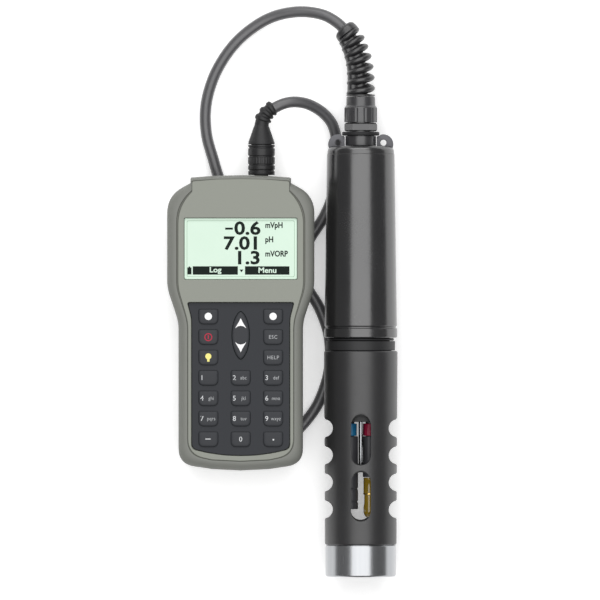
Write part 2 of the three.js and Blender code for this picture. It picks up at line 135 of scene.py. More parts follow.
class Finish:
    """A material being made: its Principled shader and the one method that adds any other node."""

    def __init__(self, name, **sockets):
        self.material = bpy.data.materials.new(name)
        self.material.use_nodes = True
        self.tree = self.material.node_tree
        self.shader = self.tree.nodes["Principled BSDF"]
        self.set(**sockets)

    def set(self, **sockets):
        for name, value in sockets.items():
            connect(self.tree, self.shader.inputs[name.replace("_", " ")], value)

    def node(self, kind, settings, sockets, output=0):
        """Adds a node of a kind: its settings first, then its sockets; gives one output."""
        node = self.tree.nodes.new("ShaderNode" + kind)
        for name, value in settings.items():
            setattr(node, name, value)
        for name, value in sockets.items():
            connect(self.tree, node.inputs[name], value)
        return Value(self.tree, node.outputs[output])

    def noise(self, scale, detail=2.0, stretch=(1.0, 1.0, 1.0)):
        """Noise over the piece's own coordinates, each first multiplied by its stretch."""
        place = self.node("TexCoord", {}, {}, "Object")
        place = self.node("Mapping", {}, {"Vector": place, "Scale": stretch})
        return self.node("TexNoise", {}, {"Vector": place, "Scale": scale, "Detail": detail})

    def mix(self, factor, dark, light):
        """A colour that goes from dark to light as the factor goes from 0 to 1."""
        return self.node("Mix", {"data_type": "RGBA"}, {0: factor, 6: dark, 7: light}, 2)

    def relief(self, height, distance, strength=1.0):
        """Bends the surface's normal as if it stood out by height times distance, in metres."""
        sockets = {"Height": height, "Distance": distance, "Strength": strength}
        self.set(Normal=self.node("Bump", {}, sockets))


def tone(colour, gain=1.0):
    """An RGBA value from a linear RGB colour, made lighter or darker by a gain."""
    return (*(min(channel * gain, 1.0) for channel in colour), 1.0)


table_finish = Finish("white_table", Roughness=0.9, Specular_IOR_Level=0.0, Emission_Strength=0.32)
table_finish.set(Emission_Color=(1.0, 1.0, 1.0, 1.0))
table_clouds = table_finish.noise(3.0)
table_finish.set(Base_Color=table_finish.mix(table_clouds, tone((0.93,) * 3), tone((0.95,) * 3)))
TABLE_REACH = 6.0
table_mesh = bpy.data.meshes.new("table")
table_corners = [(-1, -1), (1, -1), (1, 1), (-1, 1)]
table_points = [(x * TABLE_REACH, y * TABLE_REACH, -0.0003) for x, y in table_corners]
table_mesh.from_pydata(table_points, [], [(0, 1, 2, 3)])
table_mesh.materials.append(table_finish.material)
table = bpy.data.objects.new("table", table_mesh)
bpy.context.scene.collection.objects.link(table)


# ---------------------------------------------------------------- Cable
# A round 7 mm jacket over the cores. It leaves the probe's relief, loops over, runs down under the
# meter, turns back, follows the probe and climbs to the plug.
MM = 0.001
CABLE_RADIUS = 3.5
CABLE_ROUTE = np.array([
    (38.9, 205.8, 19.8), (35.5, 209.25, 18.8), (27.2, 214.4, 16.4), (15.8, 216.9, 13.0),
    (4.3, 216.5, 9.8), (-7.4, 213.4, 6.6), (-18.3, 207.3, 4.7), (-28.9, 198.3, 3.75),
    (-37.5, 187.2, 3.55), (-44.2, 174.1, 3.55), (-48.45, 157.5, 3.55), (-48.1, 140.0, 3.55),
    (-43.0, 121.0, 3.55), (-37.0, 98.0, 3.55), (-37.4, 55.0, 3.55), (-39.6, 10.0, 3.55),
    (-39.7, -30.0, 3.55), (-35.0, -46.8, 3.55), (-23.6, -57.8, 3.55), (-8.4, -59.3, 3.55),
    (6.2, -50.6, 3.55), (20.1, -34.9, 3.55), (26.2, -22.0, 3.55), (29.8, -7.0, 3.55),
    (29.4, 12.0, 3.55), (23.6, 29.3, 3.55), (15.0, 44.5, 3.55), (13.1, 57.0, 3.55),
    (15.6, 70.0, 3.55), (26.9, 88.6, 3.55), (31.7, 101.5, 3.55), (33.6, 131.0, 3.6),
    (33.7, 138.9, 4.2), (31.4, 146.2, 6.1), (27.6, 151.3, 8.5), (21.9, 155.8, 11.7),
    (14.4, 159.1, 15.4), (6.2, 159.9, 18.4), (-0.1, 158.5, 19.8), (-5.1, 156.1, 20.0),
])


def smooth_line(points, spacing):
    """A centripetal Catmull-Rom line through points, then evened out to one spacing along it.
    Each stretch is a cubic whose end slopes weigh the neighbouring chords by their square roots."""
    ends = (2 * points[0] - points[1], 2 * points[-1] - points[-2])
    p = np.vstack([ends[0], points, ends[1]])
    step = np.linalg.norm(np.diff(p, axis=0), axis=1)[:, None] ** 0.5
    slope = np.diff(p, axis=0) / step
    reach = (p[2:] - p[:-2]) / (step[1:] + step[:-1])
    tangent = slope[:-1] + slope[1:] - reach
    start, end = tangent[:-1] * step[1:-1], tangent[1:] * step[1:-1]
    a, b = p[1:-2], p[2:-1]
    t = np.linspace(0, 1, 24, endpoint=False)[None, :, None]
    a, b, start, end = (part[:, None, :] for part in (a, b, start, end))
    cubic = (2 * a - 2 * b + start + end) * t**3 + (3 * b - 3 * a - 2 * start - end) * t**2
    line = np.vstack([(cubic + start * t + a).reshape(-1, 3), points[-1]])
    along = np.r_[0, np.cumsum(np.linalg.norm(np.diff(line, axis=0), axis=1))]
    even = np.linspace(0, along[-1], max(2, int(round(along[-1] / spacing))) + 1)
    return np.stack([np.interp(even, along, line[:, axis]) for axis in range(3)], axis=1)


def swept(line, radius):
    """Rings round a line: radius is an array of one row a point and one column an angle, the angle
    being measured from the level direction across the line towards up."""
    forward = np.gradient(line, axis=0)
    forward /= np.linalg.norm(forward, axis=1)[:, None]
    across = np.cross(forward, (0.0, 0.0, 1.0))
    across /= np.linalg.norm(across, axis=1)[:, None]
    up = np.cross(across, forward)
    angle = np.linspace(0, 2 * np.pi, radius.shape[1], endpoint=False)[None, :, None]
    turn = across[:, None, :] * np.cos(angle) + up[:, None, :] * np.sin(angle)
    return line[:, None, :] + radius[:, :, None] * turn


def skin(rings, caps=True):
    """Points and faces of rings joined into a closed tube; caps fan out from each end's middle."""
    rows, count = rings.shape[:2]
    number = np.arange(rows * count).reshape(rows, count)
    beside = np.roll(number, -1, axis=1)
    quads = np.stack([number[:-1], beside[:-1], beside[1:], number[1:]], axis=-1)
    faces = quads.reshape(-1, 4).tolist()
    points = rings.reshape(-1, 3)
    if caps:
        middles = [rings[0].mean(axis=0), rings[-1].mean(axis=0)]
        for middle, row in enumerate((0, -1)):
            fan = np.stack([number[row], beside[row], np.full(count, len(points) + middle)], axis=-1)
            faces += fan.tolist()
        points = np.vstack([points, middles])
    return points, faces


def welded(mesh, drop_slivers=False):
    """Merges a mesh's doubles, drops its slivers if asked, and turns its faces outwards."""
    work = bmesh.new()
    work.from_mesh(mesh)
    bmesh.ops.remove_doubles(work, verts=work.verts, dist=2e-7)
    if drop_slivers:
        bmesh.ops.dissolve_degenerate(work, edges=work.edges, dist=1e-8)
    bmesh.ops.recalc_face_normals(work, faces=work.faces)
    work.to_mesh(mesh)
    work.free()


def make_piece(name, rides_on, parts, stands_for=(), crease=38.0):
    """One object of parts (points in millimetres, faces, finish): doubles merged, faces turned
    outwards, smooth but for edges sharper than crease. It rides on a body when one is given, and
    replaces CAD nodes."""
    mesh = bpy.data.meshes.new(name)
    points = np.vstack([part[0] for part in parts]) * MM
    first = np.cumsum([0] + [len(part[0]) for part in parts])
    faces = [[n + at for n in face] for part, at in zip(parts, first) for face in part[1]]
    mesh.from_pydata(points.tolist(), [], faces)
    finishes = list(dict.fromkeys(part[2] for part in parts))
    for finish in finishes:
        mesh.materials.append(finish.material)
    numbers = np.repeat([finishes.index(part[2]) for part in parts], [len(part[1]) for part in parts])
    mesh.polygons.foreach_set("material_index", numbers.astype(np.int32))
    welded(mesh, drop_slivers=True)
    mesh.shade_smooth()
    mesh.set_sharp_from_angle(angle=np.radians(crease))
    piece = bpy.data.objects.new(name, mesh)
    bpy.context.scene.collection.objects.link(piece)
    if rides_on:
        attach(piece, rides_on)
    if stands_for:
        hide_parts(*stands_for)
    return piece


def dressed(finish, *parts):
    """Parts (points, faces) of one finish, as make_piece takes them."""
    return [(*part, finish) for part in parts]


def moulded(name, colour, roughness, grain, depth, cloud=0.06, shine=0.35):
    """A moulded or extruded polymer: fine grain in the relief, cloudy tone, uneven gloss.
    grain is the speckle's frequency per metre, depth the relief in metres, shine the reflection."""
    finish = Finish(name, Specular_IOR_Level=shine)
    speckle = finish.noise(grain, 3.0)
    clouds = finish.noise(38.0, 4.0)
    finish.set(
        Base_Color=finish.mix(clouds, tone(colour, 1 - cloud), tone(colour, 1 + cloud)),
        Roughness=roughness + (speckle - 0.5) * 0.16 + (clouds - 0.5) * 0.14,
    )
    finish.relief(speckle, depth)
    return finish


cable_finish = moulded("cable_jacket", (0.058, 0.0572, 0.061), 0.4, 900.0, 0.00003, 0.08, 0.95)
cable_line = smooth_line(CABLE_ROUTE, 1.6)
cable_rings = swept(cable_line, np.full((len(cable_line), 24), CABLE_RADIUS))
cable_parts = dressed(cable_finish, skin(cable_rings))
cable = make_piece("cable_tube", None, cable_parts, ["cable"])

FLEX_START = 0.86
cable_share = np.linspace(0, 1, len(cable_line))
flex = np.clip((cable_share - FLEX_START) / (1 - FLEX_START), 0, 1)
flex = flex * flex * (3 - 2 * flex)
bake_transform(cable)


# ---------------------------------------------------------------- Plug and lock ring
# The plug is one moulding: a nose for the socket, a cone and a ringed relief that has taken a bend.
# A grooved bayonet ring turns on it and locks it to the meter.
def centre_of(node):
    """Middle of a CAD node's box, in millimetres."""
    low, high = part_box(node)
    return (np.array(low) + np.array(high)) / 2 / MM


def rounded(corners, steps=6):
    """An outline of corners (x, y, reach), each rounded by a parabola over its reach both ways."""
    t = np.linspace(0, 1, steps + 1)[:, None]
    runs = []
    for i, (x, y, reach) in enumerate(corners):
        corner = np.array((x, y), float)
        if not reach:
            runs.append(corner[None])
            continue
        near = [np.array(corners[k][:2], float) - corner for k in (i - 1, (i + 1) % len(corners))]
        start, end = (corner + way / np.linalg.norm(way) * reach for way in near)
        runs.append(start * (1 - t) ** 2 + 2 * corner * t * (1 - t) + end * t**2)
    return np.vstack(runs)


def turned(profile, axis, segments=128, flute=None):
    """A surface turned about a line along Y through axis (x, z). The profile's (radius, y) rows run
    round the section; flute, a function of angle and y, is added to the radius."""
    profile = np.vstack([profile, profile[:1]])
    angle = np.linspace(0, 2 * np.pi, segments, endpoint=False)[None, :]
    radius = np.repeat(profile[:, :1], segments, axis=1)
    height = np.repeat(profile[:, 1:], segments, axis=1)
    if flute is not None:
        radius = radius + flute(angle, height)
    across, up = radius * np.cos(angle), radius * np.sin(angle)
    return skin(np.stack([axis[0] + across, height, axis[1] + up], axis=-1), caps=False)


def turned_piece(name, rides_on, slot, node, finish, *shape):
    """A piece that is one turned surface and stands for one CAD node."""
    return make_piece(name, rides_on, dressed(finish, turned(*shape)), [node])


plug_middle = centre_of("plug_lock_ring")
PLUG_AXIS = (plug_middle[0], plug_middle[2])
plug_finish = moulded("plug_elastomer", (0.02, 0.02, 0.021), 0.5, 1500.0, 0.00003, 0.1)
ring_finish = moulded("lock_ring_plastic", (0.018, 0.018, 0.019), 0.36, 1800.0, 0.00002, 0.08)

RELIEF_START, RELIEF_BEND = 143.5, 14.7
bend = np.radians([0, 15, 30, 45, 56, 60])
relief_points = np.stack([
    PLUG_AXIS[0] + RELIEF_BEND * (1 - np.cos(bend)),
    RELIEF_START + RELIEF_BEND * np.sin(bend),
    np.full(len(bend), PLUG_AXIS[1]),
], axis=1)
lap = 0.9 * np.array([np.sin(bend[-1]), np.cos(bend[-1]), 0.0])
relief_points = np.vstack([(PLUG_AXIS[0], 140.2, PLUG_AXIS[1]), relief_points, relief_points[-1] + lap])
# Its radius shrinks along the line, and past its plain foot a clipped cosine swells it into rings;
# the last six steps round its lip off.
relief_line = smooth_line(relief_points, 0.16)
relief_share = np.linspace(0, 1, len(relief_line))
RELIEF_RINGS, RINGS_FROM = 4.6, 0.34
wave = 0.5 - 0.5 * np.cos(2 * np.pi * (relief_share * RELIEF_RINGS - 0.65))
ring_wave = np.clip(1.5 * wave - 0.1, 0, 1) * np.clip((relief_share - RINGS_FROM) / 0.08, 0, 1)
relief_radius = 4.75 - 0.95 * relief_share + 1.05 * ring_wave
relief_radius[-6:] -= np.array([0.02, 0.07, 0.16, 0.3, 0.5, 0.8])
relief_rings = swept(relief_line, np.repeat(relief_radius[:, None], 48, axis=1))

plug_profile = rounded([
    (0, 103.4, 0), (4.4, 103.4, 0.5), (4.4, 113.9, 0), (6.5, 113.9, 0.3), (6.5, 133.15, 0),
    (8.35, 133.15, 0.25), (8.35, 134.2, 0.9), (5.2, 143.4, 1.8), (4.4, 145.2, 0), (0, 145.2, 0),
])
plug_parts = dressed(plug_finish, turned(plug_profile, PLUG_AXIS, 96), skin(relief_rings))
plug = make_piece("plug_moulding", "plug", plug_parts, ["plug_body"])

GROOVES = (116.7, 120.2, 125.5, 131.0)
GROOVE_HALF, GROOVE_DEPTH = 0.42, 0.6
ring_outer = [(8.35, 113.75, 0.3)]
for groove in GROOVES:
    ring_outer += [
        (8.5, groove - GROOVE_HALF - 0.2, 0.25),
        (8.5 - GROOVE_DEPTH, groove - GROOVE_HALF + 0.1, 0.15),
        (8.5 - GROOVE_DEPTH, groove + GROOVE_HALF - 0.1, 0.15),
        (8.5, groove + GROOVE_HALF + 0.2, 0.25),
    ]
ring_profile = rounded([(6.8, 113.75, 0), *ring_outer, (8.45, 132.8, 0.4), (6.8, 132.8, 0)], 4)
NIBS = 30


def ring_grip(angle, y):
    """Nibs round the ring's middle band: the radius falls by 0.08 (1 + cos(NIBS angle)) there."""
    return np.where((y > 120.9) & (y < 124.9), -0.16 * (0.5 + 0.5 * np.cos(NIBS * angle)), 0.0)


lock_ring = turned_piece(
    "lock_ring", "lock_ring", "black_plastic", "plug_lock_ring", ring_finish,
    ring_profile, PLUG_AXIS, 240, ring_grip,
)


# ---------------------------------------------------------------- Spiral relief and gland
# The relief is a moulded spiral that opens as it bends: its turns hang on a spine on the inside of
# the curve. It grows out of the gland nut, which squeezes the seal on the cable.
probe_middle = centre_of("guard_weight_ring")
PROBE_AXIS = (probe_middle[0], probe_middle[2])
relief_black = moulded("spiral_relief_nylon", (0.016, 0.0158, 0.017), 0.34, 1300.0, 0.00002, 0.1, 0.8)
gland_finish = moulded("gland_nylon", (0.03, 0.0295, 0.032), 0.32, 1500.0, 0.00002, 0.08, 0.9)
washer_rubber = moulded("black_washer_rubber", (0.012, 0.012, 0.013), 0.6, 1800.0, 0.00003, 0.1)

BOOT_ROUTE = np.array([
    (49.45, 163.6, 23.2), (49.45, 172.0, 23.2), (49.2, 179.0, 23.15), (48.1, 186.5, 22.8),
    (46.2, 193.0, 22.2), (43.6, 199.2, 21.2), (41.2, 203.1, 20.4), (39.3, 205.4, 19.9),
    (38.3, 206.5, 19.6),
])
BOOT_PITCH = (6.9, 4.9)
BOOT_CORE = 4.1
RIB_SHARE = 0.78
CUFF_LENGTH = 5.6
# The radius: a rib of half-round section follows the helix of the turns, the spine, cuff and foot
# fill the gaps by steps of tanh, and the tip falls away along a quarter circle.
boot_line = smooth_line(BOOT_ROUTE, 0.16)
boot_s = np.linspace(0, 1, len(boot_line))[:, None]
boot_length = np.linalg.norm(np.diff(boot_line, axis=0), axis=1).sum()
boot_angle = np.linspace(0, 2 * np.pi, 96, endpoint=False)[None, :]
pitch = BOOT_PITCH[0] + (BOOT_PITCH[1] - BOOT_PITCH[0]) * boot_s
turns = np.cumsum(np.full_like(boot_s, boot_length / len(boot_s)) / pitch, axis=0)
from_crest = np.abs(np.mod(turns + 0.25 + boot_angle / (2 * np.pi) + 0.5, 1.0) - 0.5) * 2
rib = np.sqrt(np.clip(1 - (from_crest / RIB_SHARE) ** 2, 0, 1))
spine = 0.5 + 0.5 * np.tanh(5.0 * (-np.cos(boot_angle) - 0.62))
to_tip = (1 - boot_s) * boot_length
cuff = 0.5 - 0.5 * np.tanh(3.0 * (to_tip - CUFF_LENGTH))
foot = 0.5 - 0.5 * np.tanh(4.0 * (boot_s * boot_length - 1.2))
solid_share = np.maximum(np.maximum(rib, 0.92 * spine), np.maximum(cuff, foot))
boot_outer = 9.1 - 1.1 * boot_s - 0.9 * np.maximum(boot_s - 0.8, 0) / 0.2
lip = np.clip(to_tip / 2.2, 0, 1)
boot_radius = BOOT_CORE + (boot_outer - BOOT_CORE) * solid_share * np.sqrt(lip * (2 - lip))
boot_parts = dressed(relief_black, skin(swept(boot_line, boot_radius)))
boot = make_piece("spiral_relief", "instrument", boot_parts, ["cable_boot"])

nut_profile = rounded([
    (8.6, 146.9, 0), (10.35, 146.9, 0.3), (10.35, 156.2, 0.5), (9.2, 157.6, 0.5),
    (9.05, 163.3, 1.0), (4.5, 163.3, 0), (4.5, 152.4, 0), (8.6, 152.4, 0),
])
NUT_FLUTES = 12


def nut_ribs(angle, y):
    """Flutes round the nut's skirt: a cosine of NUT_FLUTES times the angle, clipped to its crests."""
    wave = np.cos(NUT_FLUTES * (angle - np.pi / 2) + np.pi)
    return np.where((y > 147.2) & (y < 156.0), -0.55 * np.clip(wave * 2 - 1.2, 0, 1), 0.0)


gland_nut = turned_piece(
    "gland_nut_ribbed", "instrument", "gland_plastic", "gland_nut", gland_finish,
    nut_profile, PROBE_AXIS, 288, nut_ribs,
)

gland_round = rounded([
    (4.2, 132.2, 0), (9.6, 132.2, 0.4), (9.6, 138.3, 0.2), (8.5, 138.3, 0), (8.3, 152.1, 0),
    (4.2, 152.1, 0),
])
HEX_CORNER = 10.35
hex_profile = np.array([
    (6.0, 141.3), (9.4, 141.3), (HEX_CORNER, 142.0), (HEX_CORNER, 145.9), (9.4, 146.6), (6.0, 146.6),
])


def hexed(angle, y):
    """Draws a round section in to a hexagon whose flats face up and down: its radius is that of a
    flat over the cosine of the angle from the flat's middle."""
    flat = HEX_CORNER * np.cos(np.pi / 6) / np.cos(np.mod(angle, np.pi / 3) - np.pi / 6)
    return np.minimum(flat - HEX_CORNER, 0.0)


gland_body = make_piece("gland_body_hex", "instrument", dressed(
    gland_finish,
    turned(gland_round, PROBE_AXIS, 96),
    turned(hex_profile, PROBE_AXIS, 180, hexed),
), ["gland_body"])

washer_profile = rounded([(8.8, 138.6, 0), (11.75, 138.6, 0.8), (11.75, 141.0, 0.8), (8.8, 141.0, 0)])
gland_washer = turned_piece(
    "gland_washer_ring", "instrument", "black_rubber", "gland_washer", washer_rubber,
    washer_profile, PROBE_AXIS,
)


# ---------------------------------------------------------------- Probe end cap, lugs and lanyard holes
# A moulded cap closes the housing and holds the gland. Two lugs with a hole each stand on it for a
# suspension line; the cap's skirt is glued into the housing.
lug_finish = moulded("lug_plastic", (0.12, 0.12, 0.13), 0.5, 1100.0, 0.00005, 0.08)
housing_black = (0.01, 0.0098, 0.0108)
housing_finish = moulded("probe_housing_plastic", housing_black, 0.24, 1700.0, 0.000004, 0.08, 1.0)
housing_finish.set(IOR=1.58)
seal_rubber = moulded("seal_rubber", (0.014, 0.014, 0.015), 0.55, 1500.0, 0.00003, 0.1)

cap_profile = rounded([
    (4.2, 118.2, 0), (18.3, 118.2, 0.3), (18.3, 127.3, 0), (21.1, 127.04, 0.1),
    (20.9, 130.6, 2.2), (18.6, 131.9, 1.3), (4.2, 131.9, 0),
])
LUG_X, LUG_Y, LUG_R = 14.3, 133.1, 6.3
LUG_HALF, LUG_HOLE, LUG_HOLE_Y = 1.75, 1.9, 134.1
LUG_FOOT_Y = 129.6


def on_probe(flat, z):
    """Points (x, y) of the probe, x and the height z being measured from its axis, in place."""
    level = np.full(len(flat), PROBE_AXIS[1] + z)
    return np.column_stack([PROBE_AXIS[0] + flat[:, 0], flat[:, 1], level])


def lug(side):
    """A flat plate: grid rows run round its outline, columns from the hole out over the rounded edge
    to the other face. The outline is a circle cut off by the cap below and the gland's disc inside."""
    turn_by = np.linspace(0, 2 * np.pi, 120, endpoint=False)
    ray = np.stack([np.cos(turn_by), np.sin(turn_by)], axis=1)
    middle = np.array([0.0, LUG_HOLE_Y - LUG_Y])
    reach = -(ray @ middle) + np.sqrt((ray @ middle) ** 2 - middle @ middle + LUG_R**2)
    below = np.where(ray[:, 1] < 0, (LUG_FOOT_Y - LUG_HOLE_Y) / np.minimum(ray[:, 1], -1e-6), 99.0)
    reach = np.minimum(reach, below)
    rings = [(LUG_HOLE, 0, -0.84), (LUG_HOLE + 0.25, 0, -1.0)]
    rings += [(None, 0.35, -1.0), (None, 0.1, -0.92), (None, 0.0, -0.72)]
    rings += [(None, 0.0, 0.72), (None, 0.1, 0.92), (None, 0.35, 1.0)]
    rings += [(LUG_HOLE + 0.25, 0, 1.0), (LUG_HOLE, 0, 0.84), (LUG_HOLE, 0, -0.84)]
    grid = []
    for radius, inset, level in rings:
        far = np.full(len(reach), radius) if radius else reach - inset
        flat = ray * far[:, None] + np.array([0.0, LUG_HOLE_Y])
        flat[:, 0] += LUG_X * side
        grid.append(on_probe(flat, level * LUG_HALF))
    points, faces = skin(np.array(grid), caps=False)
    near = points[:, 0] - PROBE_AXIS[0]
    limit = np.where(points[:, 1] < 138.4, 10.1, 12.1)
    points[:, 0] = PROBE_AXIS[0] + np.where(side * near < limit, side * limit, near)
    return points, faces


make_piece("probe_cap", "instrument", [
    (*turned(cap_profile, PROBE_AXIS, 160), housing_finish),
    *dressed(lug_finish, lug(1), lug(-1)),
], ["probe_end_cap"])


# ---------------------------------------------------------------- Probe housing, its seal and board
# A turned tube of black engineering plastic holds the board. A raised band ends it where the sensor
# head's spigot plugs in; the head's shoulder squeezes an O-ring in the joint.
housing_profile = rounded([
    (18.6, 11.0, 0), (22.6, 11.0, 0.3), (23.1, 11.5, 0.3), (23.1, 16.7, 0.35), (22.2, 17.3, 0.2),
    (22.2, 17.9, 0.2), (22.85, 18.6, 0.4), (21.4, 123.0, 2.0), (21.3, 126.85, 0.3),
    (21.05, 127.0, 0.1), (18.6, 127.0, 0),
])
turned_piece(
    "probe_housing_tube", "instrument", "gland_plastic", "probe_upper_housing", housing_finish,
    housing_profile, PROBE_AXIS, 160,
)

bead = np.linspace(0, 2 * np.pi, 16, endpoint=False)
seal_profile = np.stack([20.2 + 0.8 * np.cos(bead), 9.95 + 0.8 * np.sin(bead)], axis=1)
turned_piece(
    "probe_seal_ring", "instrument", "black_rubber", "probe_o_ring", seal_rubber,
    seal_profile, PROBE_AXIS,
)

board_green = moulded("circuit_board_lacquer", (0.015, 0.13, 0.06), 0.32, 900.0, 0.00002, 0.12)


def refinish(node, finish):
    """Gives a CAD node that keeps its shape a finish of its own."""
    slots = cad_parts[node].data.materials
    slots.clear()
    slots.append(finish.material)


refinish("probe_circuit_board", board_green)


# ---------------------------------------------------------------- Sensor head, sensors and thermometer
# The head is one machined plug that three sockets open into. The conductivity and pH sensors push
# into it and carry coloured collars as their key; a thin steel thermometer stands between them.
head_finish = moulded("sensor_head_plastic", (0.018, 0.018, 0.019), 0.5, 1500.0, 0.00002, 0.08)
sensor_finish = moulded("sensor_stem_plastic", (0.055, 0.055, 0.062), 0.38, 1500.0, 0.00002, 0.08)
blue_finish = moulded("blue_collar_plastic", (0.012, 0.17, 0.36), 0.38, 1500.0, 0.00002, 0.08)
red_finish = moulded("red_collar_plastic", (0.34, 0.012, 0.05), 0.38, 1500.0, 0.00002, 0.08)

head_profile = rounded([
    (0, 40.0, 0), (18.2, 40.0, 0.6), (18.2, 8.9, 0), (21.7, 8.9, 0.4), (21.7, 3.0, 0.4),
    (19.4, 3.0, 0), (19.4, -11.8, 0.4), (18.8, -12.4, 0.3), (18.8, -42.0, 0.6), (0, -42.0, 0),
])
turned_piece(
    "sensor_head_plug", "instrument", "sensor_plastic", "sensor_head", head_finish,
    head_profile, PROBE_AXIS,
)

EC_AXIS = (PROBE_AXIS[0] - 6.6, PROBE_AXIS[1])
PH_AXIS = (PROBE_AXIS[0] + 5.6, PROBE_AXIS[1] - 1.0)
PIN_R, PIN_FROM, PIN_TO = 2.6, -51.2, -30.2
CELL_RINGS = ((-92.6, 0.5), (-84.5, 0.5), (-70.0, 0.25))
ec_rows = np.linspace(-97.2, -51.2, 116)
ec_ends = ([-97.2, -97.08, -96.85, -51.55, -51.3, -51.2], [4.5, 4.75, 4.9, 4.9, 4.75, 4.5])
ec_profile = np.vstack([
    [(0, -97.2)],
    np.stack([np.interp(ec_rows, *ec_ends), ec_rows], axis=1),
    [(PIN_R, PIN_FROM), (PIN_R, PIN_TO), (0, PIN_TO)],
])


def cell_rings(angle, y):
    """Rings cut round the conductivity cell: each a bell-shaped dip, depth exp(-((y - at) / 0.5)^2)."""
    dips = sum(-depth * np.exp(-((y - at) / 0.5) ** 2) for at, depth in CELL_RINGS)
    return dips * ((y < -52) & (y > -97))


turned_piece(
    "conductivity_sensor", "ec_probe", "sensor_plastic", "ec_sensor", sensor_finish,
    ec_profile, EC_AXIS, 72, cell_rings,
)

COLLAR_FLUTES = 16
collar_rows = np.linspace(-50.9, -43.2, 40)
collar_edge = np.interp(collar_rows, [-50.9, -50.6, -43.5, -43.2], [3.85, 4.1, 4.1, 3.85])
collar_profile = np.vstack([[(2.7, -50.9)], np.stack([collar_edge, collar_rows], axis=1), [(2.7, -43.2)]])


def collar_grip(angle, y):
    """Flutes on a collar's outer half: the radius falls by 0.07 (1 - cos(COLLAR_FLUTES angle))."""
    return -0.14 * (0.5 - 0.5 * np.cos(COLLAR_FLUTES * angle)) * ((y > -50.3) & (y < -46))


turned_piece(
    "blue_collar", "ec_probe", "blue_collar", "ec_sensor_collar", blue_finish,
    collar_profile, EC_AXIS, 96, collar_grip,
)
turned_piece(
    "red_collar", "ph_probe", "red_collar", "ph_sensor_collar", red_finish,
    collar_profile, PH_AXIS, 96, collar_grip,
)

ph_profile = rounded([
    (0, -77.0, 0), (4.3, -77.0, 0.4), (4.3, PIN_FROM, 0.4), (PIN_R, PIN_FROM, 0),
    (PIN_R, PIN_TO, 0), (0, PIN_TO, 0),
])
turned_piece(
    "ph_sensor_stem", "ph_probe", "sensor_plastic", "ph_sensor", sensor_finish,
    ph_profile, PH_AXIS, 72,
)

# The pH sensor's tube is amber glass, blown to a thin bulb; a gold ring seals its junction.
glass_finish = Finish("amber_glass", Metallic=0.0, Coat_Weight=1.0, Coat_Roughness=0.04)
glass_streak = glass_finish.noise(260.0, 3.0, (1.0, 0.15, 1.0))
glass_finish.set(
    Base_Color=glass_finish.mix(glass_streak, (0.1, 0.062, 0.004, 1.0), (0.5, 0.33, 0.03, 1.0)),
    Roughness=0.1 + glass_streak * 0.1,
)
gold_finish = Finish("gold_ring", Metallic=1.0)
gold_grain = gold_finish.noise(2200.0)
gold_finish.set(
    Base_Color=gold_finish.mix(gold_grain, (0.75, 0.5, 0.12, 1.0), (0.95, 0.7, 0.25, 1.0)),
    Roughness=0.22 + gold_grain * 0.1,
)
bulb_turn = np.linspace(0, np.pi / 2, 14)
bulb_end = np.stack([3.9 * np.sin(bulb_turn), -98.6 - 4.4 * np.cos(bulb_turn)], axis=1)
bulb_profile = np.vstack([bulb_end, [(3.9, -96.0), (3.45, -93.5), (3.4, -88.4), (3.9, -87.9)]])
bulb_profile = np.vstack([bulb_profile, [(3.9, -77.6), (3.7, -77.3), (0, -77.3)]])
ring_band = rounded([(3.5, -88.0, 0), (4.1, -88.0, 0.2), (4.1, -87.2, 0.2), (3.5, -87.2, 0)])
make_piece("ph_glass_tube", "ph_probe", [
    (*turned(bulb_profile, PH_AXIS, 72), glass_finish),
    (*turned(ring_band, PH_AXIS, 72), gold_finish),
], ["ph_glass_bulb"])

# The steel's colour carries light and dark streaks along each piece's axis, which are painted reflection
# bands; the same noise also gives the relief and roughness a fine grain.
steel_finish = Finish("brushed_steel_painted_streaks", Metallic=1.0)
steel_grain_and_painted_streaks = steel_finish.noise(420.0, 4.0, (1.0, 0.02, 1.0))
steel_broad = steel_finish.noise(45.0, 2.0, (1.0, 0.1, 1.0))
steel_finish.set(
    Base_Color=steel_finish.mix(steel_grain_and_painted_streaks, (0.35, 0.36, 0.376, 1.0), (0.44, 0.447, 0.458, 1.0)),
    Roughness=0.16 + steel_broad * 0.12 + steel_grain_and_painted_streaks * 0.06,
)
steel_finish.relief(steel_grain_and_painted_streaks, 0.00001, 0.5)
ROD_AXIS = (PROBE_AXIS[0] + 0.05, PROBE_AXIS[1] + 4.0)
rod_tip = np.stack([1.45 * np.sin(bulb_turn), -69.6 - 1.4 * np.cos(bulb_turn)], axis=1)
rod_profile = np.vstack([rod_tip, [(1.45, PIN_TO), (0, PIN_TO)]])
turned_piece(
    "thermometer_rod", "instrument", "steel", "temperature_probe", steel_finish,
    rod_profile, ROD_AXIS, 48,
)


# ---------------------------------------------------------------- Guard sleeve
# A tube of black acetal screwed over the head. Four bites down each side and two slots on each face
# are milled through it and their edges broken, so that water reaches the sensors.
guard_finish = moulded("guard_acetal", (0.015, 0.0148, 0.0158), 0.4, 1600.0, 0.00001, 0.08, 0.75)
GUARD_TOP, GUARD_END, GUARD_BORE = 2.7, -119.6, 19.8
BITE_R, BITE_X, BITE_Y, BITE_PITCH, BITE_COUNT = 5.7, 23.3, -46.1, -17.1, 4
LAND_FILLET, LAND_X = 1.6, 21.3
SLOT_HALF, SLOT_LENGTH, SLOT_YS = 6.2, 30.6, (-53.6, -89.0)


